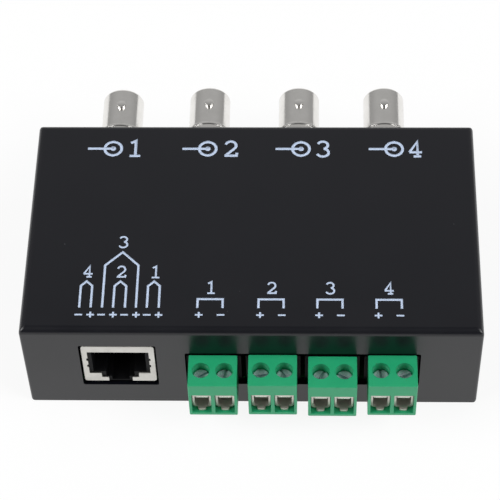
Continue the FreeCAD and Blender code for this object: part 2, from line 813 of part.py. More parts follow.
def balun_transformer(x):
    """Potted balun transformer on the board, in front of its jack."""
    rear = jack_seat - jack_body_depth - transformer_gap
    half = transformer_width / 2
    block = box(x - half, x + half, rear - transformer_depth, rear, board_top, board_top + transformer_height)
    return block.makeFillet(transformer_radius, [e for e in block.Edges if e.CenterOfMass.z > board_top + 0.1])


def surge_arresters():
    """Gas-filled surge arresters lying beside the transformers, with end caps."""
    rear = jack_seat - jack_body_depth - transformer_gap
    arresters = []
    for x in jack_x:
        axis_x = x + arrester_offset
        y0 = rear - transformer_depth
        z = board_top + arrester_radius
        core = rod_y(arrester_radius - 0.15, axis_x, y0, y0 + arrester_length, z)
        near = rod_y(arrester_radius, axis_x, y0, y0 + arrester_band, z)
        far = rod_y(arrester_radius, axis_x, y0 + arrester_length - arrester_band, y0 + arrester_length, z)
        arresters.append(fused([core, near, far]))
    return group(arresters)


def all_parts():
    """Every piece by the name of its node."""
    parts = {
        "case_cover": case_cover(),
        "base_tray": base_tray(),
        "case_screws": case_screws(),
        "board_standoffs": board_standoffs(),
        "board_screws": board_screws(),
        "circuit_board": circuit_board(),
        "socket_shield": socket_shield(),
        "socket_housing": socket_housing(),
        "socket_contacts": socket_contacts(),
        "header_pins": header_pins(),
        "surge_arresters": surge_arresters(),
    }
    for number, x in enumerate(jack_x, start=1):
        parts[f"jack_shell_{number}"] = jack_shell(x)
        parts[f"jack_insulator_{number}"] = jack_insulator(x)
        parts[f"jack_contact_{number}"] = jack_contact(x)
        parts[f"jack_body_{number}"] = jack_body(x)
        parts[f"balun_transformer_{number}"] = balun_transformer(x)
    for plug in range(plug_count):
        parts[f"terminal_plug_{plug + 1}"] = terminal_plug(plug)
        parts[f"plug_contacts_{plug + 1}"] = plug_contacts(plug)
        parts[f"pin_header_{plug + 1}"] = pin_header(plug)
    for number, (_, x, z) in enumerate(poles(), start=1):
        parts[f"clamp_cage_{number}"] = clamp_cage(x, z)
        parts[f"clamp_screw_{number}"] = clamp_screw(x, z, clamp_slot_turns[number - 1])
    return parts


os.makedirs("parts", exist_ok=True)
for name, shape in all_parts().items():
    shape.exportStep(f"parts/{name}.step")
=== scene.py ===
"""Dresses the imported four-channel video balun and sets up its studio.

Forms are built in millimetres in the row frame and turned to metres when they are
finished, so that small rounds and cuts stay well clear of rounding errors.
"""

import logging
import math
from dataclasses import dataclass
from enum import Enum
from typing import Any, Iterable, Sequence

import bmesh
import bpy
from mathutils import Matrix, Vector


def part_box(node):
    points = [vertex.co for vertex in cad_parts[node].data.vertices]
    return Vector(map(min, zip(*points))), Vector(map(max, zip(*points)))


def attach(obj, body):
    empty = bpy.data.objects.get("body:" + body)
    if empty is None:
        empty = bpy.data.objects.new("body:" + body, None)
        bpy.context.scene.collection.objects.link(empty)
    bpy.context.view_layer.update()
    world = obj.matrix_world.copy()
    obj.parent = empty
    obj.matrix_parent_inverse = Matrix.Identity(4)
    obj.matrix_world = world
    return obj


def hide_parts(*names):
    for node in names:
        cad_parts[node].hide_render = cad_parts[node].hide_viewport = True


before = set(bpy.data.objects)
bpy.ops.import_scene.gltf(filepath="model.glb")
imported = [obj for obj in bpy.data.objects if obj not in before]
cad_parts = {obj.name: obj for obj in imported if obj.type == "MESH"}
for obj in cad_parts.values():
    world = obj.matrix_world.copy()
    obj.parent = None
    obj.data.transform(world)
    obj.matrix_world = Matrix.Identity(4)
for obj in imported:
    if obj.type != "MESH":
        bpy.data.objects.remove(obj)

LOG = logging.getLogger("balun")
MM = 0.001
ROOT_BODY = "balun"
SHARP_ANGLE = math.radians(32)
# Values that most of a noise texture lies between
NOISE_SPREAD = (0.3, 0.7)
# How far light travels inside a plastic
SCATTER_MM = 0.6
# Least share of a line's width that a mitre is reckoned from, so that sharp corners stay short
SHARPEST_MITRE = 0.45
# Radius left open on the axis of a solid turned part, too fine to see
AXIS_GAP = 0.02
# How far the socket's shield stands above the foot of its moulding
SHIELD_LIFT = 0.15

Point2 = tuple[float, float]
Point3 = tuple[float, float, float]


class Axis(Enum):
    """Axis of the row frame that a form is pushed or turned along."""

    X = 0
    Y = 1
    Z = 2


class Cut(Enum):
    """How two forms are combined."""

    TAKE_AWAY = "DIFFERENCE"
    ADD = "UNION"


# Nodes


def add_node(tree: bpy.types.NodeTree, kind: str, inputs: dict[str | int, Any] | None = None,
             **settings: Any) -> bpy.types.Node:
    """Adds a node, sets it up and links it.

    Args:
        tree: Node tree that gets the node.
        kind: Blender's name of the node type.
        inputs: Value or output socket for each input, by its name or index.
        settings: Properties of the node itself.

    Returns:
        The new node.
    """
    node = tree.nodes.new(kind)
    for name, value in settings.items():
        setattr(node, name, value)
    for key, value in (inputs or {}).items():
        if isinstance(value, bpy.types.NodeSocket):
            tree.links.new(value, node.inputs[key])
        else:
            node.inputs[key].default_value = value
    return node


def reckoned(tree: bpy.types.NodeTree, operation: str, first: Any, second: Any) -> bpy.types.NodeSocket:
    """Result of a math node on two values or sockets."""
    return add_node(tree, "ShaderNodeMath", {0: first, 1: second}, operation=operation).outputs[0]


def ranged(tree: bpy.types.NodeTree, value: bpy.types.NodeSocket, given: Sequence[float],
           wanted: Sequence[float]) -> bpy.types.NodeSocket:
    """Value of a socket taken from one range to another.

    Args:
        tree: Node tree that gets the node.
        value: The socket.
        given: Lowest and highest value that come in.
        wanted: The values that they turn into.

    Returns:
        The socket with the new value.
    """
    return add_node(tree, "ShaderNodeMapRange",
                    {"Value": value, "From Min": given[0], "From Max": given[1],
                     "To Min": wanted[0], "To Max": wanted[1]}).outputs["Result"]


def linear(hex_colour: str) -> tuple[float, float, float, float]:
    """Turns an sRGB hex colour into linear RGBA.

    Args:
        hex_colour: Six hexadecimal digits, such as "2da070".

    Returns:
        The linear colour with an alpha of 1.
    """
    channels = []
    for start in (0, 2, 4):
        value = int(hex_colour[start:start + 2], 16) / 255
        channels.append(value / 12.92 if value <= 0.04045 else ((value + 0.055) / 1.055) ** 2.4)
    return (channels[0], channels[1], channels[2], 1.0)


# Finishes


@dataclass(frozen=True)
class Grain:
    """Fine relief of a surface.

    Attributes:
        size_mm: Width of one grain.
        height_mm: How far the grains stand out.
        strength: Strength of the bump.
        stretch: Scale of the pattern along X, Y and Z, below 1 to draw it out.
    """

    size_mm: float
    height_mm: float
    strength: float = 1.0
    stretch: Point3 = (1.0, 1.0, 1.0)


@dataclass(frozen=True)
class Finish:
    """One surface finish, mottled between two colours and two roughnesses.

    Attributes:
        name: Name of the material.
        colour: Main sRGB colour.
        second: Colour that it drifts towards.
        roughness: Lowest and highest roughness.
        metallic: 1 for bare metal.
        drift_mm: Width of the patches of drifting colour.
        grain: Fine relief, if any.
        specular: Specular level, 0.5 for most plastics.
        ior: Index of refraction of a non-metal.
        coat: Weight of a clear skin.
        coat_roughness: Roughness of that skin.
        subsurface: Weight of light scattered inside.
    """

    name: str
    colour: str
    second: str
    roughness: Point2
    metallic: float = 0.0
    drift_mm: float = 6.0
    grain: Grain | None = None
    specular: float = 0.5
    ior: float = 1.5
    coat: float = 0.0
    coat_roughness: float = 0.2
    subsurface: float = 0.0

    def make(self) -> bpy.types.Material:
        """Builds the material, or hands back the one already built."""
        known = bpy.data.materials.get(self.name)
        if known and known.get("finish"):
            return known
        material = bpy.data.materials.new(self.name)
        material["finish"] = True
        material.use_nodes = True
        tree = material.node_tree
        tree.nodes.clear()
        place = add_node(tree, "ShaderNodeTexCoord").outputs["Object"]
        patches = add_node(tree, "ShaderNodeTexNoise",
                           {"Vector": place, "Scale": 1 / (self.drift_mm * MM), "Detail": 4.0})
        mix = add_node(tree, "ShaderNodeMix", {"Factor": patches.outputs["Fac"], 6: linear(self.colour),
                                               7: linear(self.second)}, data_type="RGBA")
        colour = self.tinted(tree, place, mix.outputs[2])
        rough = ranged(tree, patches.outputs["Fac"], NOISE_SPREAD, self.roughness)
        shader = add_node(tree, "ShaderNodeBsdfPrincipled",
                          {"Base Color": colour, "Roughness": rough,
                           "Metallic": self.metallic, "Specular IOR Level": self.specular,
                           "Coat Weight": self.coat, "Coat Roughness": self.coat_roughness,
                           "Subsurface Weight": self.subsurface})
        if not self.metallic:
            shader.inputs["IOR"].default_value = self.ior
        if self.subsurface:
            shader.inputs["Subsurface Scale"].default_value = SCATTER_MM * MM
        if self.grain:
            tree.links.new(self.relief(tree, place), shader.inputs["Normal"])
        add_node(tree, "ShaderNodeOutputMaterial", {"Surface": shader.outputs["BSDF"]})
        return material

    def tinted(self, tree: bpy.types.NodeTree, place: bpy.types.NodeSocket,
               colour: bpy.types.NodeSocket) -> bpy.types.NodeSocket:
        """Colour with marks of the finish's own; none here.

        Args:
            tree: The material's tree.
            place: Object coordinates.
            colour: The mottled colour.

        Returns:
            The colour to use.
        """
        return colour

    def relief(self, tree: bpy.types.NodeTree, place: bpy.types.NodeSocket) -> bpy.types.NodeSocket:
        """Bump of the fine grain.

        Args:
            tree: The material's tree.
            place: Object coordinates.

        Returns:
            The bumped normal.
        """
        drawn = add_node(tree, "ShaderNodeMapping", {"Vector": place, "Scale": self.grain.stretch})
        noise = add_node(tree, "ShaderNodeTexNoise",
                         {"Vector": drawn.outputs["Vector"], "Scale": 1 / (self.grain.size_mm * MM),
                          "Detail": 3.0})
        bump = add_node(tree, "ShaderNodeBump",
                        {"Height": noise.outputs["Fac"], "Strength": self.grain.strength,
                         "Distance": self.grain.height_mm * MM})
        return bump.outputs["Normal"]


@dataclass(frozen=True)
class PowderCoat(Finish):
    """Powder coat with a few pale specks of dust caught on it.

    Attributes:
        dust: sRGB colour of a speck.
        speck_mm: Mean distance between places where a speck may lie.
        speck_size: Radius of a speck as a share of that distance.
        speck_share: Share of those places that hold a speck.
        speck_cover: How much of the coat's colour a speck hides.
    """

    dust: str = "8d9094"
    speck_mm: float = 2.6
    speck_size: float = 0.035
    speck_share: float = 0.12
    speck_cover: float = 0.45

    def tinted(self, tree: bpy.types.NodeTree, place: bpy.types.NodeSocket,
               colour: bpy.types.NodeSocket) -> bpy.types.NodeSocket:
        """Adds specks to about one cell in eight."""
        cells = add_node(tree, "ShaderNodeTexVoronoi",
                         {"Vector": place, "Scale": 1 / (self.speck_mm * MM), "Randomness": 1.0})
        near = reckoned(tree, "LESS_THAN", cells.outputs["Distance"], self.speck_size)
        shade = add_node(tree, "ShaderNodeSeparateColor", {"Color": cells.outputs["Color"]})
        chosen = reckoned(tree, "LESS_THAN", shade.outputs["Red"], self.speck_share)
        speck = reckoned(tree, "MULTIPLY", near, chosen)
        soft = reckoned(tree, "MULTIPLY", speck, self.speck_cover)
        mix = add_node(tree, "ShaderNodeMix", {"Factor": soft, 6: colour, 7: linear(self.dust)},
                       data_type="RGBA")
        return mix.outputs[2]


# Smooth epoxy powder coat on folded steel: near black, half gloss, a faint orange peel
POWDER_COAT = PowderCoat("black_epoxy_powder_coat", "06070f", "090a12", (0.28, 0.34), drift_mm=14,
                         grain=Grain(0.3, 0.006, 0.2), ior=1.52)
# Black zinc plate on the cover screws: darker than bare steel, satin
BLACK_ZINC = Finish("black_zinc_plate", "26262a", "303036", (0.38, 0.5), metallic=0.8, drift_mm=2,
                    grain=Grain(0.12, 0.004, 0.3))
# Pad-printed ink: flat, pale blue-white, slightly broken where it is thin
PRINT_INK = Finish("pale_pad_printed_ink", "cbd9ef", "b6c7e3", (0.55, 0.7), drift_mm=0.5, specular=0.3)
# Moulded polyamide of screw terminals: bright green, smooth, a little light gets into it
GREEN_POLYAMIDE = Finish("green_moulded_polyamide", "1c9a68", "25a471", (0.34, 0.44), drift_mm=5,
                         grain=Grain(0.3, 0.006, 0.25), subsurface=0.04)
# Satin nickel plate on die-cast zinc: warm grey with a soft broad highlight
SATIN_NICKEL = Finish("satin_nickel_plate", "efedea", "e2e0dc", (0.16, 0.24), metallic=1.0, drift_mm=3,
                      grain=Grain(0.15, 0.003, 0.15, (1, 0.25, 1)))
# Tin plate on thin steel sheet: pale, cloudy and half dull
TIN_PLATE = Finish("tin_plated_sheet", "dad8d3", "c8c6c1", (0.34, 0.5), metallic=1.0, drift_mm=2.5,
                   grain=Grain(0.35, 0.003, 0.25, (0.3, 1, 1)))
# Moulded black thermoplastic of connectors: deep black, finely eroded and dull
BLACK_THERMOPLASTIC = Finish("black_moulded_thermoplastic", "0b0b0d", "101012", (0.5, 0.6), drift_mm=4,
                             grain=Grain(0.2, 0.004, 0.2), specular=0.14)
# Bright zinc plate with a faint blue passivation on the clamp screws
BLUE_ZINC = Finish("blue_passivated_zinc", "f2f7fb", "8fa3b3", (0.26, 0.42), metallic=0.6, drift_mm=0.35,
                   grain=Grain(0.35, 0.08, 1.0))
# Nickel plate on the stamped clamp cages: a film dulls it a little, sheared edges catch the light
STAMPED_NICKEL = Finish("stamped_nickel_plate", "efe6e1", "dccfc9", (0.28, 0.4), metallic=0.6, drift_mm=1.5,
                        grain=Grain(0.15, 0.004, 0.4))
# Tin plate on copper alloy contacts and pins: pale, smooth and fairly bright
TINNED_COPPER = Finish("tinned_copper_alloy", "f0ece6", "e2ddd6", (0.12, 0.2), metallic=0.9, drift_mm=1.2,
                       grain=Grain(0.12, 0.003, 0.3))
# Flash of gold over nickel on sprung contacts: warm yellow, smooth
GOLD_FLASH = Finish("gold_flashed_contact", "d8ad55", "c79a45", (0.2, 0.3), metallic=1.0, drift_mm=1.5,
                    grain=Grain(0.12, 0.002, 0.2))
# White insulating polymer, turned: milky, waxy, light gets into it
WHITE_POLYMER = Finish("white_turned_polymer", "e4e3dc", "d8d7cf", (0.4, 0.5), drift_mm=2,
                       grain=Grain(0.2, 0.003, 0.2, (1, 3, 1)), subsurface=0.3)
# Green solder mask over glass fibre: glossy, the weave shows faintly
SOLDER_MASK = Finish("green_mask_over_glass_fibre", "0f5a2c", "136835", (0.22, 0.34), drift_mm=3,
                     grain=Grain(0.5, 0.006, 0.3), coat=0.4)
# Potting resin in a moulded cup: dull black
POTTING_RESIN = Finish("black_potting_resin", "17171a", "1e1e21", (0.5, 0.62), drift_mm=3,
                       grain=Grain(0.4, 0.01, 0.4))
# Glazed ceramic tube of a surge arrester: off-white, glossy
GLAZED_CERAMIC = Finish("glazed_ceramic", "d9d5c8", "cdc8ba", (0.18, 0.28), drift_mm=2,
                        grain=Grain(0.3, 0.004, 0.2))


# Forms


class Form:
    """A closed mesh that is being shaped, in millimetres."""

    def __init__(self, mesh: bpy.types.Mesh | bpy.types.Curve) -> None:
        """Links a new object for the mesh or curve."""
        self.object = bpy.data.objects.new("form", mesh)
        bpy.context.scene.collection.objects.link(self.object)

    @classmethod
    def from_bmesh(cls, shape: bmesh.types.BMesh) -> "Form":
        """Makes a form of a bmesh and frees it."""
        bmesh.ops.recalc_face_normals(shape, faces=shape.faces)
        mesh = bpy.data.meshes.new("form")
        shape.to_mesh(mesh)
        shape.free()
        return cls(mesh)

    def apply(self) -> "Form":
        """Turns the live modifiers into plain mesh."""
        depsgraph = bpy.context.evaluated_depsgraph_get()
        mesh = bpy.data.meshes.new_from_object(self.object.evaluated_get(depsgraph))
        if self.object.type == "MESH":
            self.object.modifiers.clear()
            self.object.data = mesh
            return self
        old = self.object
        self.__init__(mesh)
        bpy.data.objects.remove(old)
        return self

    def combine(self, how: Cut, others: Iterable["Form"]) -> "Form":
        """Adds the other forms or takes them away, and uses them up.

        Args:
            how: Whether the others are added or taken away.
            others: Closed forms.

        Returns:
            This form.
        """
        for other in others:
            modifier = self.object.modifiers.new("combine", "BOOLEAN")
            modifier.operation = how.value
            modifier.solver = "MANIFOLD"
            modifier.object = other.object
            self.apply()
            bpy.data.objects.remove(other.object)
        return self

    def cut(self, *others: "Form") -> "Form":
        """Takes the other forms away."""
        return self.combine(Cut.TAKE_AWAY, others)

    def add(self, *others: "Form") -> "Form":
        """Adds the other forms."""
        return self.combine(Cut.ADD, others)

    def soften(self, radius: float, segments: int = 2, angle: float = 35.0) -> "Form":
        """Rounds every edge that is sharper than an angle.

        Args:
            radius: Radius in millimetres.
            segments: Faces across the round.
            angle: Smallest angle, in degrees, that is rounded.

        Returns:
            This form.
        """
        bevel = self.object.modifiers.new("soften", "BEVEL")
        bevel.width = radius
        bevel.segments = segments
        bevel.limit_method = "ANGLE"
        bevel.angle_limit = math.radians(angle)
        bevel.miter_outer = "MITER_ARC"
        return self.apply()

    def place(self, x: float = 0.0, y: float = 0.0, z: float = 0.0) -> "Form":
        """Moves the form."""
        self.object.data.transform(Matrix.Translation((x, y, z)))
        return self

    def turn(self, degrees: float, axis: Axis) -> "Form":
        """Turns the form about an axis through the origin."""
        self.object.data.transform(Matrix.Rotation(math.radians(degrees), 4, axis.name))
        return self

    def join(self, *others: "Form") -> "Form":
        """Puts separate solids into one form without merging them."""
        shape = bmesh.new()
        for form in (self, *others):
            shape.from_mesh(form.object.data)
        shape.to_mesh(self.object.data)
        shape.free()
        for other in others:
            bpy.data.objects.remove(other.object)
        return self


def block(low: Sequence[float], high: Sequence[float]) -> bmesh.types.BMesh:
    """Loose block between two opposite corners, for a form that shapes it further."""
    shape = bmesh.new()
    bmesh.ops.create_cube(shape, size=1.0)
    size = Vector(high) - Vector(low)
    middle = (Vector(high) + Vector(low)) / 2
    bmesh.ops.transform(shape, matrix=Matrix.Translation(middle) @ Matrix.Diagonal((*size, 1.0)),
                        verts=shape.verts)
    return shape


def spanned(low: Sequence[float], high: Sequence[float]) -> Form:
    """Block between two opposite corners."""
    return Form.from_bmesh(block(low, high))


def slab(x: float, width: float, y_span: Point2, z_span: Point2) -> Form:
    """Block of some width about x, between two places along Y and two along Z."""
    return spanned((x - width / 2, y_span[0], z_span[0]), (x + width / 2, y_span[1], z_span[1]))


def outline_point(axis: Axis, place: Point2, along: float) -> Point3:
    """Point of an outline drawn across an axis.

    Args:
        axis: Axis that the outline is pushed along.
        place: Its two other coordinates, in X, Y, Z order.
        along: Its coordinate on the axis.

    Returns:
        The point in the row frame.
    """
    first, second = place
    if axis is Axis.X:
        return (along, first, second)
    if axis is Axis.Y:
        return (first, along, second)
    return (first, second, along)


def pushed(outline: Sequence[Point2], axis: Axis, start: float, end: float) -> Form:
    """Prism of a closed outline pushed along an axis from start to end."""
    shape = bmesh.new()
    rings = [[shape.verts.new(outline_point(axis, place, along)) for place in outline]
             for along in (start, end)]
    shape.faces.new(rings[0])
    shape.faces.new(rings[1])
    count = len(outline)
    for index in range(count):
        after = (index + 1) % count
        shape.faces.new([rings[0][index], rings[0][after], rings[1][after], rings[1][index]])
    return Form.from_bmesh(shape)


def rounded_outline(corners: Sequence[Point2], radius: float | Sequence[float],
                    steps: int = 5) -> list[Point2]:
    """Outline with an arc in place of each corner.

    Args:
        corners: Corners of the outline in order.
        radius: One radius for all the corners, or one for each.
        steps: Straight pieces in each arc.

    Returns:
        The points of the rounded outline.
    """
    radii = [radius] * len(corners) if isinstance(radius, (int, float)) else list(radius)
    points: list[Point2] = []
    for index, corner in enumerate(corners):
        here = Vector(corner)
        to_last = (Vector(corners[index - 1]) - here).normalized()
        to_next = (Vector(corners[(index + 1) % len(corners)]) - here).normalized()
        if radii[index] <= 0:
            points.append(tuple(here))
            continue
        half = to_last.angle(to_next) / 2
        reach = radii[index] / math.tan(half)
        centre = here + (to_last + to_next).normalized() * (radii[index] / math.sin(half))
        start = here + to_last * reach - centre
        end = here + to_next * reach - centre
        sweep = start.angle_signed(end)
        for step in range(steps + 1):
            turned = Matrix.Rotation(-sweep * step / steps, 2) @ start
            points.append(tuple(centre + turned))
    return points


def rectangle(x0: float, x1: float, y0: float, y1: float) -> list[Point2]:
    """Corners of a rectangle, anticlockwise."""
    return [(x0, y0), (x1, y0), (x1, y1), (x0, y1)]


def rod(radius: float, axis: Axis, centre: Point2, start: float, end: float, sides: int = 64) -> Form:
    """Cylinder along an axis.

    Args:
        radius: Its radius.
        axis: Axis that it runs along.
        centre: Its two other coordinates, in X, Y, Z order.
        start: Where it starts on the axis.
        end: Where it ends.
        sides: Faces round it.

    Returns:
        The closed cylinder.
    """
    ring = [(centre[0] + radius * math.cos(math.tau * i / sides),
             centre[1] + radius * math.sin(math.tau * i / sides)) for i in range(sides)]
    return pushed(ring, axis, start, end)


# Geometry Nodes


class Recipe:
    """A Geometry Nodes tree with named inputs, run once on a base form."""

    def __init__(self, name: str, sizes: dict[str, tuple[str, Any]]) -> None:
        """Starts the tree.

        Args:
            name: Name of the tree.
            sizes: Socket type and value of each named input.
        """
        self.tree = bpy.data.node_groups.new(name, "GeometryNodeTree")
        self.sizes = sizes
        interface = self.tree.interface
        interface.new_socket("Geometry", in_out="OUTPUT", socket_type="NodeSocketGeometry")
        interface.new_socket("Geometry", in_out="INPUT", socket_type="NodeSocketGeometry")
        interface.new_socket("Material", in_out="INPUT", socket_type="NodeSocketMaterial")
        for size, (kind, _) in sizes.items():
            interface.new_socket(size, in_out="INPUT", socket_type=kind)
        self.given = add_node(self.tree, "NodeGroupInput").outputs

    def close(self, geometry: bpy.types.NodeSocket) -> None:
        """Realizes the instances, sets the material and ends the tree."""
        real = add_node(self.tree, "GeometryNodeRealizeInstances", {"Geometry": geometry})
        dressed = add_node(self.tree, "GeometryNodeSetMaterial",
                           {"Geometry": real.outputs["Geometry"], "Material": self.given["Material"]})
        add_node(self.tree, "NodeGroupOutput", {"Geometry": dressed.outputs["Geometry"]})

    def grow(self, base: Form, finish: Finish) -> Form:
        """Runs the tree on a form and keeps the result as plain mesh.

        Args:
            base: Mesh or curve that the tree works on, used up.
            finish: Finish that the tree sets.

        Returns:
            The grown form.
        """
        modifier = base.object.modifiers.new("recipe", "NODES")
        modifier.node_group = self.tree
        values = {name: value for name, (_, value) in self.sizes.items()}
        values["Material"] = finish.make()
        for item in self.tree.interface.items_tree:
            if item.in_out == "INPUT" and item.name in values:
                modifier[item.identifier] = values[item.name]
        return base.apply()


def curve_form(lines: Iterable[tuple[Sequence[Point3], bool, Sequence[float]]]) -> Form:
    """Curve of straight-run splines.

    Args:
        lines: Points, whether the line is closed, and the radius at each point.

    Returns:
        The form that holds the curve.
    """
    curve = bpy.data.curves.new("lines", "CURVE")
    curve.dimensions = "3D"
    for points, closed, radii in lines:
        spline = curve.splines.new("POLY")
        spline.points.add(len(points) - 1)
        spline.use_cyclic_u = closed
        for place, point, radius in zip(spline.points, points, radii):
            place.co = (*point, 1.0)
            place.radius = radius
    return Form(curve)


def turned_part(profile: Sequence[Point2], finish: Finish, segments: int = 96) -> Form:
    """Turned part about the Y axis, grown by a tree from its half outline.

    Args:
        profile: Closed outline of (radius, place along +Y), anticlockwise, clear of the axis.
        finish: Finish of the part.
        segments: Faces round it.

    Returns:
        The closed form.
    """
    recipe = Recipe("turned_part", {"Segments": ("NodeSocketInt", segments)})
    guide_radius = 1.0
    path = add_node(recipe.tree, "GeometryNodeCurvePrimitiveCircle",
                    {"Resolution": recipe.given["Segments"], "Radius": guide_radius})
    outline = add_node(recipe.tree, "GeometryNodeTransform",
                       {"Geometry": recipe.given["Geometry"], "Translation": (-guide_radius, 0, 0)})
    swept = add_node(recipe.tree, "GeometryNodeCurveToMesh",
                     {"Curve": path.outputs["Curve"], "Profile Curve": outline.outputs["Geometry"]})
    recipe.close(swept.outputs["Mesh"])
    flat = [(radius, along, 0.0) for radius, along in profile]
    form = recipe.grow(curve_form([(flat, True, [1.0] * len(flat))]), finish)
    return form.turn(90, Axis.X)


def row_of(base: Form, count: int, step: Point3, finish: Finish) -> Form:
    """Evenly spaced copies of a form, the first where the form is.

    Args:
        base: The form to repeat, used up.
        count: How many copies.
        step: From each copy to the next.
        finish: Finish of the copies.

    Returns:
        One form that holds all the copies.
    """
    recipe = Recipe("row_of_copies", {"Count": ("NodeSocketInt", count), "Step": ("NodeSocketVector", step)})
    line = add_node(recipe.tree, "GeometryNodeMeshLine",
                    {"Count": recipe.given["Count"], "Offset": recipe.given["Step"]})
    copies = add_node(recipe.tree, "GeometryNodeInstanceOnPoints",
                      {"Points": line.outputs["Mesh"], "Instance": recipe.given["Geometry"]})
    recipe.close(copies.outputs["Instances"])
    return recipe.grow(base, finish)


def raised(tree: bpy.types.NodeTree, geometry: bpy.types.NodeSocket,
           height: bpy.types.NodeSocket) -> bpy.types.NodeSocket:
    """Geometry of a tree moved up by a height."""
    shift = add_node(tree, "ShaderNodeCombineXYZ", {"Z": height}).outputs["Vector"]
    moved = add_node(tree, "GeometryNodeTransform", {"Geometry": geometry, "Translation": shift})
    return moved.outputs["Geometry"]


def threaded_rod(crest: float, depth: float, pitch: float, length: float, finish: Finish) -> Form:
    """Rod with a helical thread, from the origin down the Z axis.

    Args:
        crest: Radius over the thread.
        depth: Depth of the thread.
        pitch: Rise in one turn.
        length: Length of the rod.
        finish: Finish of the rod.

    Returns:
        The rod and its thread.
    """
    number = "NodeSocketFloat"
    recipe = Recipe("threaded_rod", {"Crest": (number, crest), "Pitch": (number, pitch),
                                     "Length": (number, length), "Depth": (number, depth)})
    tree, given = recipe.tree, recipe.given
    sides = 40
    root = reckoned(tree, "SUBTRACT", given["Crest"], given["Depth"])
    run = reckoned(tree, "SUBTRACT", given["Length"], given["Pitch"])
    turns = reckoned(tree, "DIVIDE", run, given["Pitch"])
    spiral = add_node(tree, "GeometryNodeCurveSpiral",
                      {"Resolution": sides, "Rotations": turns, "Start Radius": root, "End Radius": root,
                       "Height": run})
    upright = add_node(tree, "GeometryNodeSetCurveNormal", {"Curve": spiral.outputs["Curve"]}, mode="Z_UP")
    ridge = add_node(tree, "GeometryNodeCurvePrimitiveCircle", {"Resolution": 4, "Radius": given["Depth"]})
    thread = add_node(tree, "GeometryNodeCurveToMesh",
                      {"Curve": upright.outputs["Curve"], "Profile Curve": ridge.outputs["Curve"],
                       "Fill Caps": True})
    core = add_node(tree, "GeometryNodeMeshCylinder",
                    {"Vertices": sides, "Radius": root, "Depth": given["Length"]})
    half_turn = reckoned(tree, "MULTIPLY", given["Pitch"], 0.5)
    middle = reckoned(tree, "MULTIPLY", given["Length"], 0.5)
    both = add_node(tree, "GeometryNodeJoinGeometry")
    tree.links.new(raised(tree, thread.outputs["Mesh"], half_turn), both.inputs["Geometry"])
    tree.links.new(raised(tree, core.outputs["Mesh"], middle), both.inputs["Geometry"])
    recipe.close(both.outputs["Geometry"])
    return recipe.grow(Form(bpy.data.meshes.new("seed")), finish).place(z=-length)


# Finished pieces


def node_box(node: str) -> tuple[Vector, Vector]:
    """Lowest and highest corner of a CAD node, in millimetres."""
    low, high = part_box(node)
    return Vector(low) / MM, Vector(high) / MM


def finished(form: Form, name: str, finish: Finish, nodes: Sequence[str], body: str = ROOT_BODY,
             smooth: bool = True) -> bpy.types.Object:
    """Turns a form into a finished piece of the object.

    Args:
        form: The form, in millimetres.
        name: Name of the piece.
        finish: Its finish.
        nodes: CAD nodes that it stands for.
        body: CAD body that it rides on.
        smooth: Whether rounds are shaded smooth.

    Returns:
        The finished object.
    """
    piece = form.object
    piece.name = name
    mesh = piece.data
    mesh.name = name
    mesh.transform(Matrix.Scale(MM, 4))
    mesh.materials.clear()
    mesh.materials.append(finish.make())
    if smooth:
        mesh.shade_smooth()
        mesh.set_sharp_from_angle(angle=SHARP_ANGLE)
        weighted = piece.modifiers.new("flat faces stay flat", "WEIGHTED_NORMAL")
        weighted.keep_sharp = True
        depsgraph = bpy.context.evaluated_depsgraph_get()
        piece.data = bpy.data.meshes.new_from_object(piece.evaluated_get(depsgraph))
        piece.modifiers.clear()
    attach(piece, body)
    if nodes:
        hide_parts(*nodes)
    LOG.info("%s: %d faces on %s", name, len(piece.data.polygons), body)
    return piece


# Case


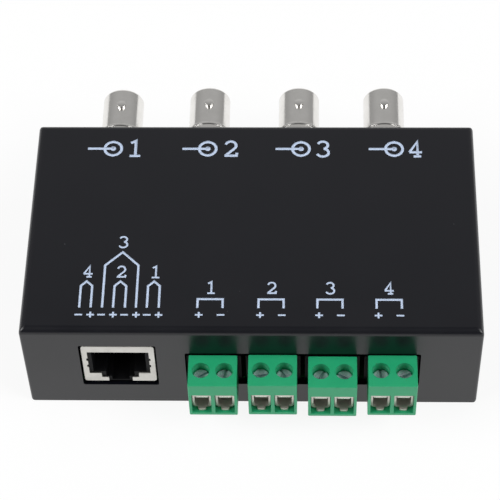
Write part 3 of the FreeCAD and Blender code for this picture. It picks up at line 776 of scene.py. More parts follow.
@dataclass
class SteelCase:
    """Folded cover with its cut-outs, and the screws in its side walls.

    Attributes:
        sheet: Thickness of the steel sheet.
        bend: Outer radius of the bends along the top.
        upright: Outer radius of the four upright edges.
        seam: Width of the open seams between flaps and side walls.
        free_corner: Radius of the lower corners of the flaps.
        coat_edge: Radius that the coat leaves on cut edges.
        socket_gap: Room beside, under and above the socket's shield.
        slot_margin: Room beside the outer terminal plugs.
        slot_z: Bottom and top of the terminal slot.
        opening_rounds: Corner radii of the socket opening and the terminal slot.
        jack_gap: Room round each jack.
        screw_z: Height of the cover screws.
        screw_setback: From the ends of the case to the cover screws.
        screw_head: Radius of the countersunk heads.
        screw_shank: Radius of their shanks.
        screw_length: Length of the screws.
        screw_clearance: Room round each screw.
        recess: Half length, half width and depth of each arm of the cross recess.
        deeper: How much further back the cover reaches than its CAD node.
    """

    sheet: float = 1.0
    bend: float = 1.6
    upright: float = 0.6
    seam: float = 0.2
    free_corner: float = 0.9
    coat_edge: float = 0.12
    socket_gap: Point3 = (0.35, 1.0, 0.7)
    slot_margin: float = 0.9
    slot_z: Point2 = (7.2, 19.5)
    opening_rounds: Point2 = (0.4, 0.5)
    jack_gap: float = 0.15
    screw_z: float = 10.6
    screw_setback: float = 9.5
    screw_head: float = 2.25
    screw_shank: float = 1.2
    screw_length: float = 4.6
    screw_clearance: float = 0.05
    recess: Point3 = (1.3, 0.35, 0.7)
    deeper: float = 0.5

    def __post_init__(self) -> None:
        """Reads the cover's place from the frame."""
        self.low, self.high = node_box("case_cover")
        self.screw_reach = self.high.y - self.screw_setback
        self.high.y += self.deeper

    def shell(self) -> Form:
        """Rounded pan, open below."""
        shape = block(self.low, self.high)
        middle_z = (self.high.z + self.low.z) / 2
        weights = shape.edges.layers.float.new("bevel_weight_edge")
        for edge in shape.edges:
            direction = edge.verts[0].co - edge.verts[1].co
            heights = [vert.co.z for vert in edge.verts]
            if abs(direction.z) > 1:
                edge[weights] = self.upright / self.bend
            elif min(heights) > middle_z:
                edge[weights] = 1.0
        pan = Form.from_bmesh(shape)
        bevel = pan.object.modifiers.new("bends", "BEVEL")
        bevel.limit_method = "WEIGHT"
        bevel.width = self.bend
        bevel.segments = 8
        pan.apply()
        inside_low = (self.low.x + self.sheet, self.low.y + self.sheet, self.low.z - 1)
        inside_high = (self.high.x - self.sheet, self.high.y - self.sheet, self.high.z - self.sheet)
        return pan.cut(spanned(inside_low, inside_high).soften(self.bend - self.sheet, 4))

    def seams(self) -> list[Form]:
        """Cutters for the four corner seams."""
        cutters = []
        top = self.high.z - self.bend
        for x_side, x_edge in ((-1, self.low.x), (1, self.high.x)):
            x0, x1 = sorted((x_edge - x_side * self.sheet * 1.01, x_edge + x_side))
            for y_side, y_edge in ((-1, self.low.y), (1, self.high.y)):
                flap = y_edge - y_side * self.sheet
                y0, y1 = sorted((flap, flap - y_side * self.seam))
                cutters.append(spanned((x0, y0, self.low.z - 1), (x1, y1, top)))
        return cutters

    def corner_rounds(self) -> list[Form]:
        """Cutters that round the lower corners of the front and back flaps."""
        cutters = []
        radius = self.free_corner
        for x_side, x_edge in ((-1, self.low.x), (1, self.high.x)):
            angles = [math.pi / 2 * step / 8 for step in range(9)]
            bow = [(x_edge - x_side * radius + x_side * radius * math.sin(angle),
                    radius - radius * math.cos(angle)) for angle in angles]
            outline = bow + [(x_edge + x_side, radius), (x_edge + x_side, -1.0),
                             (x_edge - x_side * radius, -1.0)]
            for y_side, y_edge in ((-1, self.low.y), (1, self.high.y)):
                start, end = sorted((y_edge - y_side * self.sheet, y_edge + y_side))
                cutters.append(pushed(outline, Axis.Y, start, end))
        return cutters

    def front_openings(self) -> list[Form]:
        """Cutters for the socket and the terminal slot."""
        start, end = self.low.y - 1, self.low.y + self.sheet + 1
        low = node_box("socket_housing")[0]
        shield_low, shield_high = node_box("socket_shield")
        gap_x, gap_under, gap_over = self.socket_gap
        socket = rectangle(shield_low.x - gap_x, shield_high.x + gap_x,
                           low.z + SHIELD_LIFT - gap_under, shield_high.z + gap_over)
        first, last = node_box("terminal_plug_1")[0], node_box("terminal_plug_4")[1]
        slot = rectangle(first.x - self.slot_margin, last.x + self.slot_margin, *self.slot_z)
        return [pushed(rounded_outline(outline, radius), Axis.Y, start, end)
                for outline, radius in zip((socket, slot), self.opening_rounds)]

    def back_holes(self) -> list[Form]:
        """Cutters for the four jacks."""
        cutters = []
        for number in range(1, 5):
            low, high = node_box(f"jack_shell_{number}")
            radius = (high.x - low.x) / 2 + self.jack_gap
            centre = ((low.x + high.x) / 2, (low.z + high.z) / 2)
            cutters.append(rod(radius, Axis.Y, centre, self.high.y - self.sheet - 1, self.high.y + 1, 96))
        return cutters

    def screw_places(self) -> list[tuple[int, float]]:
        """Side of the case and Y of each cover screw."""
        return [(side, y) for side in (-1, 1) for y in (-self.screw_reach, self.screw_reach)]

    def screw_seat(self, side: int, y: float) -> Form:
        """Cutter for one countersunk hole."""
        wide = self.screw_head + self.screw_clearance
        narrow = self.screw_shank + self.screw_clearance
        profile = [(AXIS_GAP, -1.0), (wide, -1.0), (wide, 0.0), (narrow, wide - narrow), (narrow, 3.0),
                   (AXIS_GAP, 3.0)]
        return self.sideways(turned_part(profile, POWDER_COAT, 48), side, y)

    def sideways(self, form: Form, side: int, y: float) -> Form:
        """Turns a part made along +Y to point into one side wall."""
        return form.turn(90 * side, Axis.Z).place(side * self.high.x, y, self.screw_z)

    def cover(self) -> Form:
        """The whole cover."""
        cover = self.shell()
        cover.cut(*self.seams(), *self.corner_rounds(), *self.front_openings(), *self.back_holes())
        cover.cut(*[self.screw_seat(side, y) for side, y in self.screw_places()])
        return cover.soften(self.coat_edge, 2, 50)

    def screw(self, side: int, y: float) -> Form:
        """Countersunk cross-head screw, flush with the wall."""
        depth = self.screw_head - self.screw_shank
        rim = 0.12
        profile = rounded_outline([(AXIS_GAP, 0.0), (self.screw_head, 0.0), (self.screw_head, rim),
                                   (self.screw_shank, depth), (self.screw_shank, self.screw_length),
                                   (AXIS_GAP, self.screw_length)], [0, 0.06, 0.05, 0.1, 0.1, 0], 3)
        screw = turned_part(profile, BLACK_ZINC, 64)
        reach, half, bottom = self.recess
        for turned in (0, 90):
            arm = pushed(rectangle(-reach, reach, -half, half), Axis.Y, -1, bottom)
            screw.cut(arm.turn(turned, Axis.Y))
        return self.sideways(screw, side, y)

    def build(self) -> None:
        """Builds and dresses the cover and its screws."""
        finished(self.cover(), "case_cover_shell", POWDER_COAT, ["case_cover"])
        screws = [self.screw(side, y) for side, y in self.screw_places()]
        finished(screws[0].join(*screws[1:]), "cover_screws", BLACK_ZINC, ["case_screws"])


# Printed signs


@dataclass(frozen=True)
class Stroke:
    """One drawn line of a sign.

    Attributes:
        points: Its points.
        closed: Whether it ends where it starts.
    """

    points: tuple[Point2, ...]
    closed: bool = False

    def moved(self, x: float, y: float, scale: float = 1.0) -> "Stroke":
        """The stroke at another place and size."""
        return Stroke(tuple((x + scale * px, y + scale * py) for px, py in self.points), self.closed)

    def mitres(self) -> list[float]:
        """Width factor at each point that keeps the line's width round its corners."""
        factors = []
        count = len(self.points)
        for index, point in enumerate(self.points):
            if not self.closed and index in (0, count - 1):
                factors.append(1.0)
                continue
            here = Vector(point)
            arriving = (here - Vector(self.points[index - 1])).normalized()
            leaving = (Vector(self.points[(index + 1) % count]) - here).normalized()
            factors.append(1 / max(math.cos(arriving.angle(leaving) / 2), SHARPEST_MITRE))
        return factors


def arc(centre: Point2, radii: Point2, start: float, end: float, steps: int = 14) -> list[Point2]:
    """Points on an ellipse between two angles in degrees."""
    points = []
    for step in range(steps + 1):
        angle = math.radians(start + (end - start) * step / steps)
        points.append((centre[0] + radii[0] * math.cos(angle), centre[1] + radii[1] * math.sin(angle)))
    return points


def numeral(digit: int) -> list[Stroke]:
    """Strokes of a numeral with feet, one unit high, on a middle line at x = 0."""
    if digit == 1:
        lines = [[(0.03, 0.0), (0.03, 1.0), (-0.22, 0.86)], [(-0.25, 0.04), (0.28, 0.04)]]
    elif digit == 2:
        bowl = arc((0.0, 0.7), (0.26, 0.27), 165, -35)
        lines = [bowl + [(-0.26, 0.07)], [(-0.3, 0.06), (0.29, 0.06), (0.31, 0.24)]]
    elif digit == 3:
        upper = arc((-0.01, 0.74), (0.25, 0.23), 160, -80)
        lower = arc((-0.01, 0.27), (0.29, 0.25), 80, -160)
        lines = [upper, lower]
    else:
        lines = [[(0.1, 0.0), (0.1, 0.97), (-0.3, 0.3)], [(-0.3, 0.3), (0.32, 0.3)],
                 [(-0.1, 0.04), (0.27, 0.04)]]
    return [Stroke(tuple(line)) for line in lines]


@dataclass
class TopSigns:
    """Pale signs printed on the top of the case, with places from its front left corner.

    Attributes:
        ink: Thickness of the ink.
        layer: How much higher each stroke lies than the one it may cross.
        layers: How many such heights follow each other.
        line: Width of the diagram lines.
        digit_line: Width of the strokes of the small numbers.
        label_line: Width of the strokes in front of the jacks.
        sign_line: Width of the plus and minus strokes.
        sign_size: Length of the plus and minus strokes.
        jack_numbers: X of each jack number.
        jack_symbols: X of the middle of each jack symbol.
        jack_sign_y: Y of the foot of the jack numbers.
        jack_sign_height: Height of the jack numbers.
        ring: Radius of a jack symbol's ring as a share of that height.
        ring_shift: How far its middle lies to the right, as a share of the ring's radius.
        lead: Reach of its lead to the left as a share of that height.
        pin: Radius of the ring drawn for its pin.
        pair_foot: Y of the feet of the socket diagram.
        pair_sign_y: Y of its plus and minus signs.
        pair_signs: X of those signs, minus first.
        pairs: Left X, right X, shoulder Y, peak X, peak Y of each pair of legs.
        pair_numbers: Numeral, X and foot Y of each number over a pair.
        brackets: Left and right X of each terminal bracket.
        bracket_y: Y of the feet and the top of the brackets.
        number_height: Height of the small numbers.
        bracket_number_y: Y of the foot of the terminal numbers.
        bracket_sign_y: Y of the terminal plus and minus signs.
        bracket_sign_inset: From the legs of a bracket to those signs.
        number_shift: From the middle of a bracket to its number.
    """

    ink: float = 0.03
    layer: float = 0.004
    layers: int = 5
    line: float = 0.5
    digit_line: float = 0.42
    label_line: float = 0.64
    sign_line: float = 0.42
    sign_size: float = 1.65
    jack_numbers: tuple[float, ...] = (22.6, 44.5, 65.55, 86.6)
    jack_symbols: tuple[float, ...] = (15.85, 37.5, 58.8, 80.0)
    jack_sign_y: float = 47.95
    jack_sign_height: float = 4.6
    ring: float = 0.42
    ring_shift: float = 0.9
    lead: float = 0.88
    pin: float = 0.32
    pair_foot: float = 6.2
    pair_sign_y: float = 4.33
    pair_signs: tuple[float, ...] = (12.77, 15.33, 17.69, 20.25, 22.66, 25.24, 27.56, 30.1)
    pairs: tuple[tuple[float, ...], ...] = (
        (12.81, 15.3, 11.9, 14.0, 13.15),
        (20.16, 22.73, 11.9, 21.42, 13.15),
        (27.48, 30.05, 11.9, 28.77, 13.15),
        (17.77, 25.11, 17.4, 21.48, 21.0),
    )
    pair_numbers: tuple[tuple[int, float, float], ...] = (
        (4, 14.17, 14.2), (2, 21.45, 14.13), (1, 28.95, 14.06), (3, 21.46, 22.2))
    brackets: tuple[Point2, ...] = ((38.39, 43.85), (51.59, 57.03), (64.3, 69.74), (77.06, 82.5))
    bracket_y: Point2 = (6.18, 8.5)
    number_height: float = 3.1
    bracket_number_y: float = 9.95
    bracket_sign_y: float = 4.38
    bracket_sign_inset: float = 0.38
    number_shift: float = 0.08

    def minus(self, x: float, y: float) -> list[Stroke]:
        """Minus sign."""
        half = self.sign_size / 2
        return [Stroke(((x - half, y), (x + half, y)))]

    def plus(self, x: float, y: float) -> list[Stroke]:
        """Plus sign, a little lower than it is wide."""
        half = self.sign_size / 2 * 0.9
        return self.minus(x, y) + [Stroke(((x, y - half), (x, y + half)))]

    def number(self, digit: int, x: float, y: float, height: float) -> list[Stroke]:
        """Numeral with its foot at a place."""
        return [stroke.moved(x, y, height) for stroke in numeral(digit)]

    def jack_symbol(self, x: float, y: float, height: float) -> list[Stroke]:
        """Round jack seen from its open end, with its two lugs and its lead."""
        radius = height * self.ring
        middle = y + height / 2
        centre = x + radius * self.ring_shift
        ring = Stroke(tuple(arc((centre, middle), (radius, radius), 0, 352, 40)), closed=True)
        pin = Stroke(tuple(arc((centre, middle), (self.pin, self.pin), 0, 340, 12)), closed=True)
        lead = Stroke(((centre - 0.3, middle), (x - height * self.lead, middle)))
        lugs = [Stroke(((centre, middle + side * radius), (centre, middle + side * height / 2)))
                for side in (-1, 1)]
        return [ring, pin, lead, *lugs]

    def diagram(self) -> list[Stroke]:
        """Every line of the two diagrams."""
        strokes = []
        for left, right, shoulder, peak_x, peak_y in self.pairs:
            strokes.append(Stroke(((left, self.pair_foot), (left, shoulder), (peak_x, peak_y),
                                   (right, shoulder), (right, self.pair_foot))))
        foot, top = self.bracket_y
        for left, right in self.brackets:
            strokes.append(Stroke(((left, foot), (left, top), (right, top), (right, foot))))
        return strokes

    def small_numbers(self) -> list[Stroke]:
        """Every number over a pair of legs or a bracket."""
        strokes = []
        for digit, x, y in self.pair_numbers:
            strokes += self.number(digit, x, y, self.number_height)
        for digit, (left, right) in enumerate(self.brackets, start=1):
            x = (left + right) / 2 + self.number_shift
            strokes += self.number(digit, x, self.bracket_number_y, self.number_height)
        return strokes

    def poles(self) -> list[Stroke]:
        """Every plus and minus sign."""
        strokes = []
        for index, x in enumerate(self.pair_signs):
            sign = self.minus if index % 2 == 0 else self.plus
            strokes += sign(x, self.pair_sign_y)
        for left, right in self.brackets:
            strokes += self.plus(left + self.bracket_sign_inset, self.bracket_sign_y)
            strokes += self.minus(right - self.bracket_sign_inset, self.bracket_sign_y)
        return strokes

    def jack_signs(self) -> list[Stroke]:
        """Symbol and number in front of each jack."""
        strokes = []
        for digit, (number_x, symbol_x) in enumerate(zip(self.jack_numbers, self.jack_symbols), start=1):
            strokes += self.number(digit, number_x, self.jack_sign_y, self.jack_sign_height)
            strokes += self.jack_symbol(symbol_x, self.jack_sign_y, self.jack_sign_height)
        return strokes

    def printed(self, strokes: Sequence[Stroke], width: float, corner: Vector) -> Form:
        """Ink of some strokes, grown by a tree.

        Args:
            strokes: Lines to print.
            width: Width of the lines.
            corner: Front left corner of the top face.

        Returns:
            The ink.
        """
        recipe = Recipe("printed_line", {"Width": ("NodeSocketFloat", width),
                                         "Ink": ("NodeSocketFloat", 2 * self.ink)})
        tree, given = recipe.tree, recipe.given
        level = add_node(tree, "GeometryNodeSetCurveNormal", {"Curve": given["Geometry"]}, mode="Z_UP")
        section = add_node(tree, "GeometryNodeCurvePrimitiveQuadrilateral",
                           {"Width": given["Width"], "Height": given["Ink"]})
        radius = add_node(tree, "GeometryNodeInputRadius")
        inked = add_node(tree, "GeometryNodeCurveToMesh",
                         {"Curve": level.outputs["Curve"], "Profile Curve": section.outputs["Curve"],
                          "Scale": radius.outputs["Radius"], "Fill Caps": True})
        recipe.close(inked.outputs["Mesh"])
        lines = []
        for index, stroke in enumerate(strokes):
            level = corner.z + self.layer * (index % self.layers)
            points = [(corner.x + x, corner.y + y, level) for x, y in stroke.points]
            lines.append((points, stroke.closed, stroke.mitres()))
        return recipe.grow(curve_form(lines), PRINT_INK)

    def build(self) -> None:
        """Prints all the signs."""
        low, high = node_box("case_cover")
        corner = Vector((low.x, low.y, high.z))
        signs = self.printed(self.diagram(), self.line, corner)
        signs.join(self.printed(self.small_numbers(), self.digit_line, corner),
                   self.printed(self.poles(), self.sign_line, corner),
                   self.printed(self.jack_signs(), self.label_line, corner))
        piece = finished(signs, "printed_signs", PRINT_INK, [], smooth=False)


# Jacks


@dataclass
class CoaxJack:
    """Bayonet coaxial jack: shell, insulator and centre contact.

    Attributes:
        number: Which jack, from the left.
        barrel: Radius of the barrel.
        bore: Radius of its bore.
        bore_depth: Depth of the bore.
        spigot: Radius of the part inside the case.
        disc: Radius of the insulator where it sits in the spigot.
        fit: Room between parts that fit in each other.
        root: Radius of the collar at the case.
        root_end: How far the collar reaches out of the case.
        groove: Depth and width of the groove in the collar.
        reach: From the foot of the collar to the tip.
        lug_radius: Radius of the bayonet lugs.
        lug_span: Distance over both lugs.
        lug_setback: From the tip to the lugs.
        post: Radius of the insulating post.
        contact: Radius of the centre contact.
        contact_bore: Radius of its bore.
        set_back: How much less far the first jack reaches out.
    """

    number: int
    barrel: float = 4.8
    bore: float = 4.05
    bore_depth: float = 10.6
    spigot: float = 4.4
    disc: float = 2.6
    fit: float = 0.03
    root: float = 5.4
    root_end: float = 5.6
    groove: Point2 = (0.2, 0.6)
    reach: float = 16.6
    lug_radius: float = 1.0
    lug_span: float = 11.0
    lug_setback: float = 5.2
    post: float = 2.35
    contact: float = 1.05
    contact_bore: float = 0.68
    set_back: float = 0.6

    def __post_init__(self) -> None:
        """Reads the jack's place from the frame."""
        low, high = node_box(f"jack_shell_{self.number}")
        self.x = (low.x + high.x) / 2
        self.z = (low.z + high.z) / 2
        self.seat = low.y
        self.moved = self.set_back if self.number == 1 else 0.0
        self.tip = high.y - self.moved
        self.foot = self.tip - self.reach

    def shell(self) -> Form:
        """Turned shell with its groove, its rounded nose and two lugs."""
        root_end = self.foot + self.root_end
        inner = self.foot - 1.0
        floor = self.tip - self.bore_depth
        groove_depth, groove_width = self.groove
        groove_start = root_end - 2 * groove_width
        hole = self.disc + self.fit
        profile = [(hole, self.seat), (self.spigot, self.seat), (self.spigot, inner), (self.root, inner),
                   (self.root, groove_start), (self.root - groove_depth, groove_start + 0.1),
                   (self.root - groove_depth, groove_start + groove_width - 0.1),
                   (self.root, groove_start + groove_width),
                   (self.root, root_end), (self.barrel, root_end + 0.25),
                   (self.barrel, self.tip - 0.5), (self.barrel - 0.3, self.tip),
                   (self.bore + 0.12, self.tip), (self.bore, self.tip - 0.35),
                   (self.bore, floor), (hole, floor)]
        soft = [0, 0.1, 0, 0, 0.06, 0.05, 0.05, 0.06, 0.18, 0.1, 0.25, 0.12, 0.08, 0.1, 0.15, 0]
        shell = turned_part(rounded_outline(profile, soft, 4), SATIN_NICKEL, 128)
        return shell.place(self.x, 0, self.z).add(self.lug(1), self.lug(-1))

    def lug(self, side: int) -> Form:
        """One bayonet lug, flat on top."""
        reach = self.lug_span / 2
        start = (self.barrel + self.bore) / 2
        profile = rounded_outline([(AXIS_GAP, start), (self.lug_radius, start), (self.lug_radius, reach),
                                   (AXIS_GAP, reach)], [0, 0, 0.08, 0], 4)
        lug = turned_part(profile, SATIN_NICKEL, 48)
        return lug.turn(90 * side, Axis.X).place(self.x, self.tip - self.lug_setback, self.z)

    def insulator(self) -> Form:
        """Insulating post and the disc on the floor of the bore."""
        low, high = node_box(f"jack_insulator_{self.number}")
        end = high.y - self.moved
        floor = self.tip - self.bore_depth
        hole = self.contact + self.fit
        wide = self.bore - self.fit
        profile = [(hole, low.y), (self.disc, low.y), (self.disc, floor), (wide, floor), (wide, floor + 1),
                   (self.post, floor + 1), (self.post, end), (hole, end)]
        soft = [0, 0.1, 0, 0.1, 0.15, 0.2, 0.3, 0.12]
        return turned_part(rounded_outline(profile, soft, 4), WHITE_POLYMER, 72).place(self.x, 0, self.z)

    def centre(self) -> Form:
        """Slit centre contact and its tail down to the board."""
        low, high = node_box(f"jack_contact_{self.number}")
        bore_depth, slot, tail = 5.0, 0.2, 0.5
        end = high.y - self.moved
        profile = [(AXIS_GAP, low.y), (self.contact, low.y), (self.contact, end),
                   (self.contact_bore + 0.12, end), (self.contact_bore, end - 0.2),
                   (self.contact_bore, end - bore_depth), (AXIS_GAP, end - bore_depth)]
        soft = [0, 0.1, 0.15, 0.04, 0.05, 0.1, 0]
        contact = turned_part(rounded_outline(profile, soft, 3), GOLD_FLASH, 48).place(self.x, 0, self.z)
        for turned in (0, 90):
            blade = spanned((-slot / 2, end - bore_depth, -2), (slot / 2, end + 1, 2))
            contact.cut(blade.turn(turned, Axis.Y).place(self.x, 0, self.z))
        leg = rod(tail, Axis.Z, (self.x, low.y + tail), low.z, self.z, 32)
        return contact.add(leg)

    def build(self) -> None:
        """Builds and dresses the jack."""
        number = self.number
        finished(self.shell(), f"jack_{number}_barrel", SATIN_NICKEL, [f"jack_shell_{number}"])
        finished(self.insulator(), f"jack_{number}_post", WHITE_POLYMER, [f"jack_insulator_{number}"])
        finished(self.centre(), f"jack_{number}_centre_contact", GOLD_FLASH, [f"jack_contact_{number}"])


# Data socket


@dataclass
class DataSocket:
    """Shielded eight-way data socket.

    Attributes:
        sheet: Thickness of the shield's sheet.
        fold: Radius of the shield's bends.
        tab_width: Width of the board tabs.
        tab_setback: From the shield's front to the tabs.
        window: Width and top of the window in the shield.
        shoulder: Height of the window's lower edge.
        step: Width and bottom of the step under it.
        latch: Width of the latch notch.
        notch: Width and height of the side notches.
        notch_pitch: From one side notch to the next.
        cavity: Width and top of the plug cavity.
        cavity_shoulder: Height of the cavity's lower edge.
        cavity_depth: Depth of the cavity.
        cavity_step: Width of the step in the cavity.
        cavity_latch: Width of the latch channel.
        contact_count: How many contacts.
        contact_pitch: Distance between contacts.
        contact_width: Width of a contact.
        contact_thickness: Thickness of a contact.
        contact_drop: How far a contact slopes down towards the back.
        edge: Radius of the shield's front edges.
    """

    sheet: float = 0.3
    fold: float = 0.8
    tab_width: float = 1.6
    tab_setback: float = 8.0
    window: Point2 = (13.5, 19.3)
    shoulder: float = 10.95
    step: Point2 = (8.25, 9.3)
    latch: float = 5.25
    notch: Point2 = (0.3, 0.9)
    notch_pitch: float = 2.5
    cavity: Point2 = (11.8, 18.9)
    cavity_shoulder: float = 11.2
    cavity_depth: float = 12.6
    cavity_step: float = 6.3
    cavity_latch: float = 3.9
    contact_count: int = 8
    contact_pitch: float = 1.02
    contact_width: float = 0.4
    contact_thickness: float = 0.35
    contact_drop: float = 2.6
    edge: float = 0.22

    def __post_init__(self) -> None:
        """Reads the socket's place from the frame."""
        self.low, self.high = node_box("socket_shield")
        self.bottom = node_box("socket_housing")[0].z + SHIELD_LIFT
        self.x = (self.low.x + self.high.x) / 2
        self.first_x = self.x - (self.contact_count - 1) / 2 * self.contact_pitch

    def stepped(self, widths: Sequence[float], levels: Sequence[float], radius: float) -> list[Point2]:
        """Outline with a wide top and two narrower steps below it.

        Args:
            widths: Width of the top, the step and the latch channel.
            levels: Top, shoulder, step and bottom heights.
            radius: Radius of the corners.

        Returns:
            The closed outline.
        """
        wide, step, latch = (width / 2 for width in widths)
        top, shoulder, step_z, bottom = levels
        right = [(wide, top), (wide, shoulder), (step, shoulder), (step, step_z), (latch, step_z),
                 (latch, bottom)]
        corners = [(self.x + x, z) for x, z in right]
        corners += [(self.x - x, z) for x, z in reversed(right)]
        return rounded_outline(corners, radius, 3)

    def shield(self) -> Form:
        """Folded shield with its window, side notches and board tabs."""
        front, rear = self.low.y, self.high.y
        outline = rectangle(self.low.x, self.high.x, self.bottom, self.high.z)
        s = self.sheet
        inner = rectangle(self.low.x + s, self.high.x - s, self.bottom + s, self.high.z - s)
        shield = pushed(rounded_outline(outline, self.fold, 6), Axis.Y, front, rear)
        shield.soften(self.edge, 3, 60)
        shield.cut(pushed(rounded_outline(inner, self.fold - s, 6), Axis.Y, front + s, rear - s))
        shield.cut(spanned((self.low.x + self.fold, front + s, self.bottom - 1),
                           (self.high.x - self.fold, rear - s, self.bottom + 2 * s)))
        width, top = self.window
        step_width, step_z = self.step
        window = self.stepped((width, step_width, self.latch),
                              (top, self.shoulder, step_z, self.bottom - 1), 0.15)
        shield.cut(pushed(window, Axis.Y, front - 1, front + s * 1.5))
        notch_width, notch_height = self.notch
        middle = (top + self.shoulder) / 2
        for side in (-1, 1):
            edge = self.x + side * width / 2
            x0, x1 = sorted((edge - side, edge + side * notch_width))
            for row in (-0.5, 0.5):
                z = middle + row * self.notch_pitch
                shield.cut(spanned((x0, front - 1, z - notch_height / 2),
                                   (x1, front + s * 1.5, z + notch_height / 2)))
        for side, wall in ((-1, self.low.x), (1, self.high.x)):
            x0, x1 = sorted((wall, wall - side * s))
            y, half = front + self.tab_setback, self.tab_width / 2
            shield.add(spanned((x0, y - half, self.low.z), (x1, y + half, self.bottom + self.fold)))
        return shield.soften(0.05, 1, 60)

    def housing(self) -> Form:
        """Black moulding with the plug cavity."""
        low, high = node_box("socket_housing")
        body = pushed(rounded_outline(rectangle(low.x, high.x, low.z + 0.48, high.z), 0.45, 4),
                      Axis.Y, low.y, high.y)
        body.add(spanned((low.x + 0.5, low.y, low.z), (high.x - 0.5, high.y, high.z - 1)))
        width, top = self.cavity
        step_z = self.step[1]
        cavity = self.stepped((width, self.cavity_step, self.cavity_latch),
                              (top, self.cavity_shoulder, step_z, self.bottom + self.sheet), 0.12)
        body.cut(pushed(cavity, Axis.Y, low.y - 1, low.y + self.cavity_depth))
        groove = slab(self.first_x, self.contact_width + 0.12, (low.y + 1.2, low.y + self.cavity_depth),
                      (top - 0.01, top + 0.9))
        body.cut(row_of(groove, self.contact_count, (self.contact_pitch, 0, 0), BLACK_THERMOPLASTIC))
        return body.soften(0.08, 1, 50)

    def contact(self) -> Form:
        """First sprung contact, bent at its tip and at its root."""
        low, high = node_box("socket_contacts")
        half = self.contact_thickness / 2
        tip_y = low.y + 0.05
        leg_y = high.y - half
        top = high.z - half
        drop = top - self.contact_drop
        line = [(tip_y, top), (tip_y + 0.7, top - 0.02), (leg_y - 1.6, drop + 0.35), (leg_y - 0.4, drop),
                (leg_y, drop - 0.5), (leg_y, low.z)]
        upper, lower = [], []
        for index, point in enumerate(line):
            before = Vector(line[max(index - 1, 0)])
            after = Vector(line[min(index + 1, len(line) - 1)])
            along = (after - before).normalized()
            across = Vector((-along.y, along.x)) * half
            upper.append(tuple(Vector(point) + across))
            lower.append(tuple(Vector(point) - across))
        side = self.contact_width / 2
        return pushed(upper + lower[::-1], Axis.X, self.first_x - side, self.first_x + side)

    def build(self) -> None:
        """Builds and dresses the socket."""
        finished(self.shield(), "socket_shield_sheet", TIN_PLATE, ["socket_shield"])
        finished(self.housing(), "socket_moulding", BLACK_THERMOPLASTIC, ["socket_housing"])
        contacts = row_of(self.contact().soften(0.05, 2, 60), self.contact_count,
                          (self.contact_pitch, 0, 0), GOLD_FLASH)
        finished(contacts, "socket_spring_contacts", GOLD_FLASH, ["socket_contacts"])


# Screw terminals


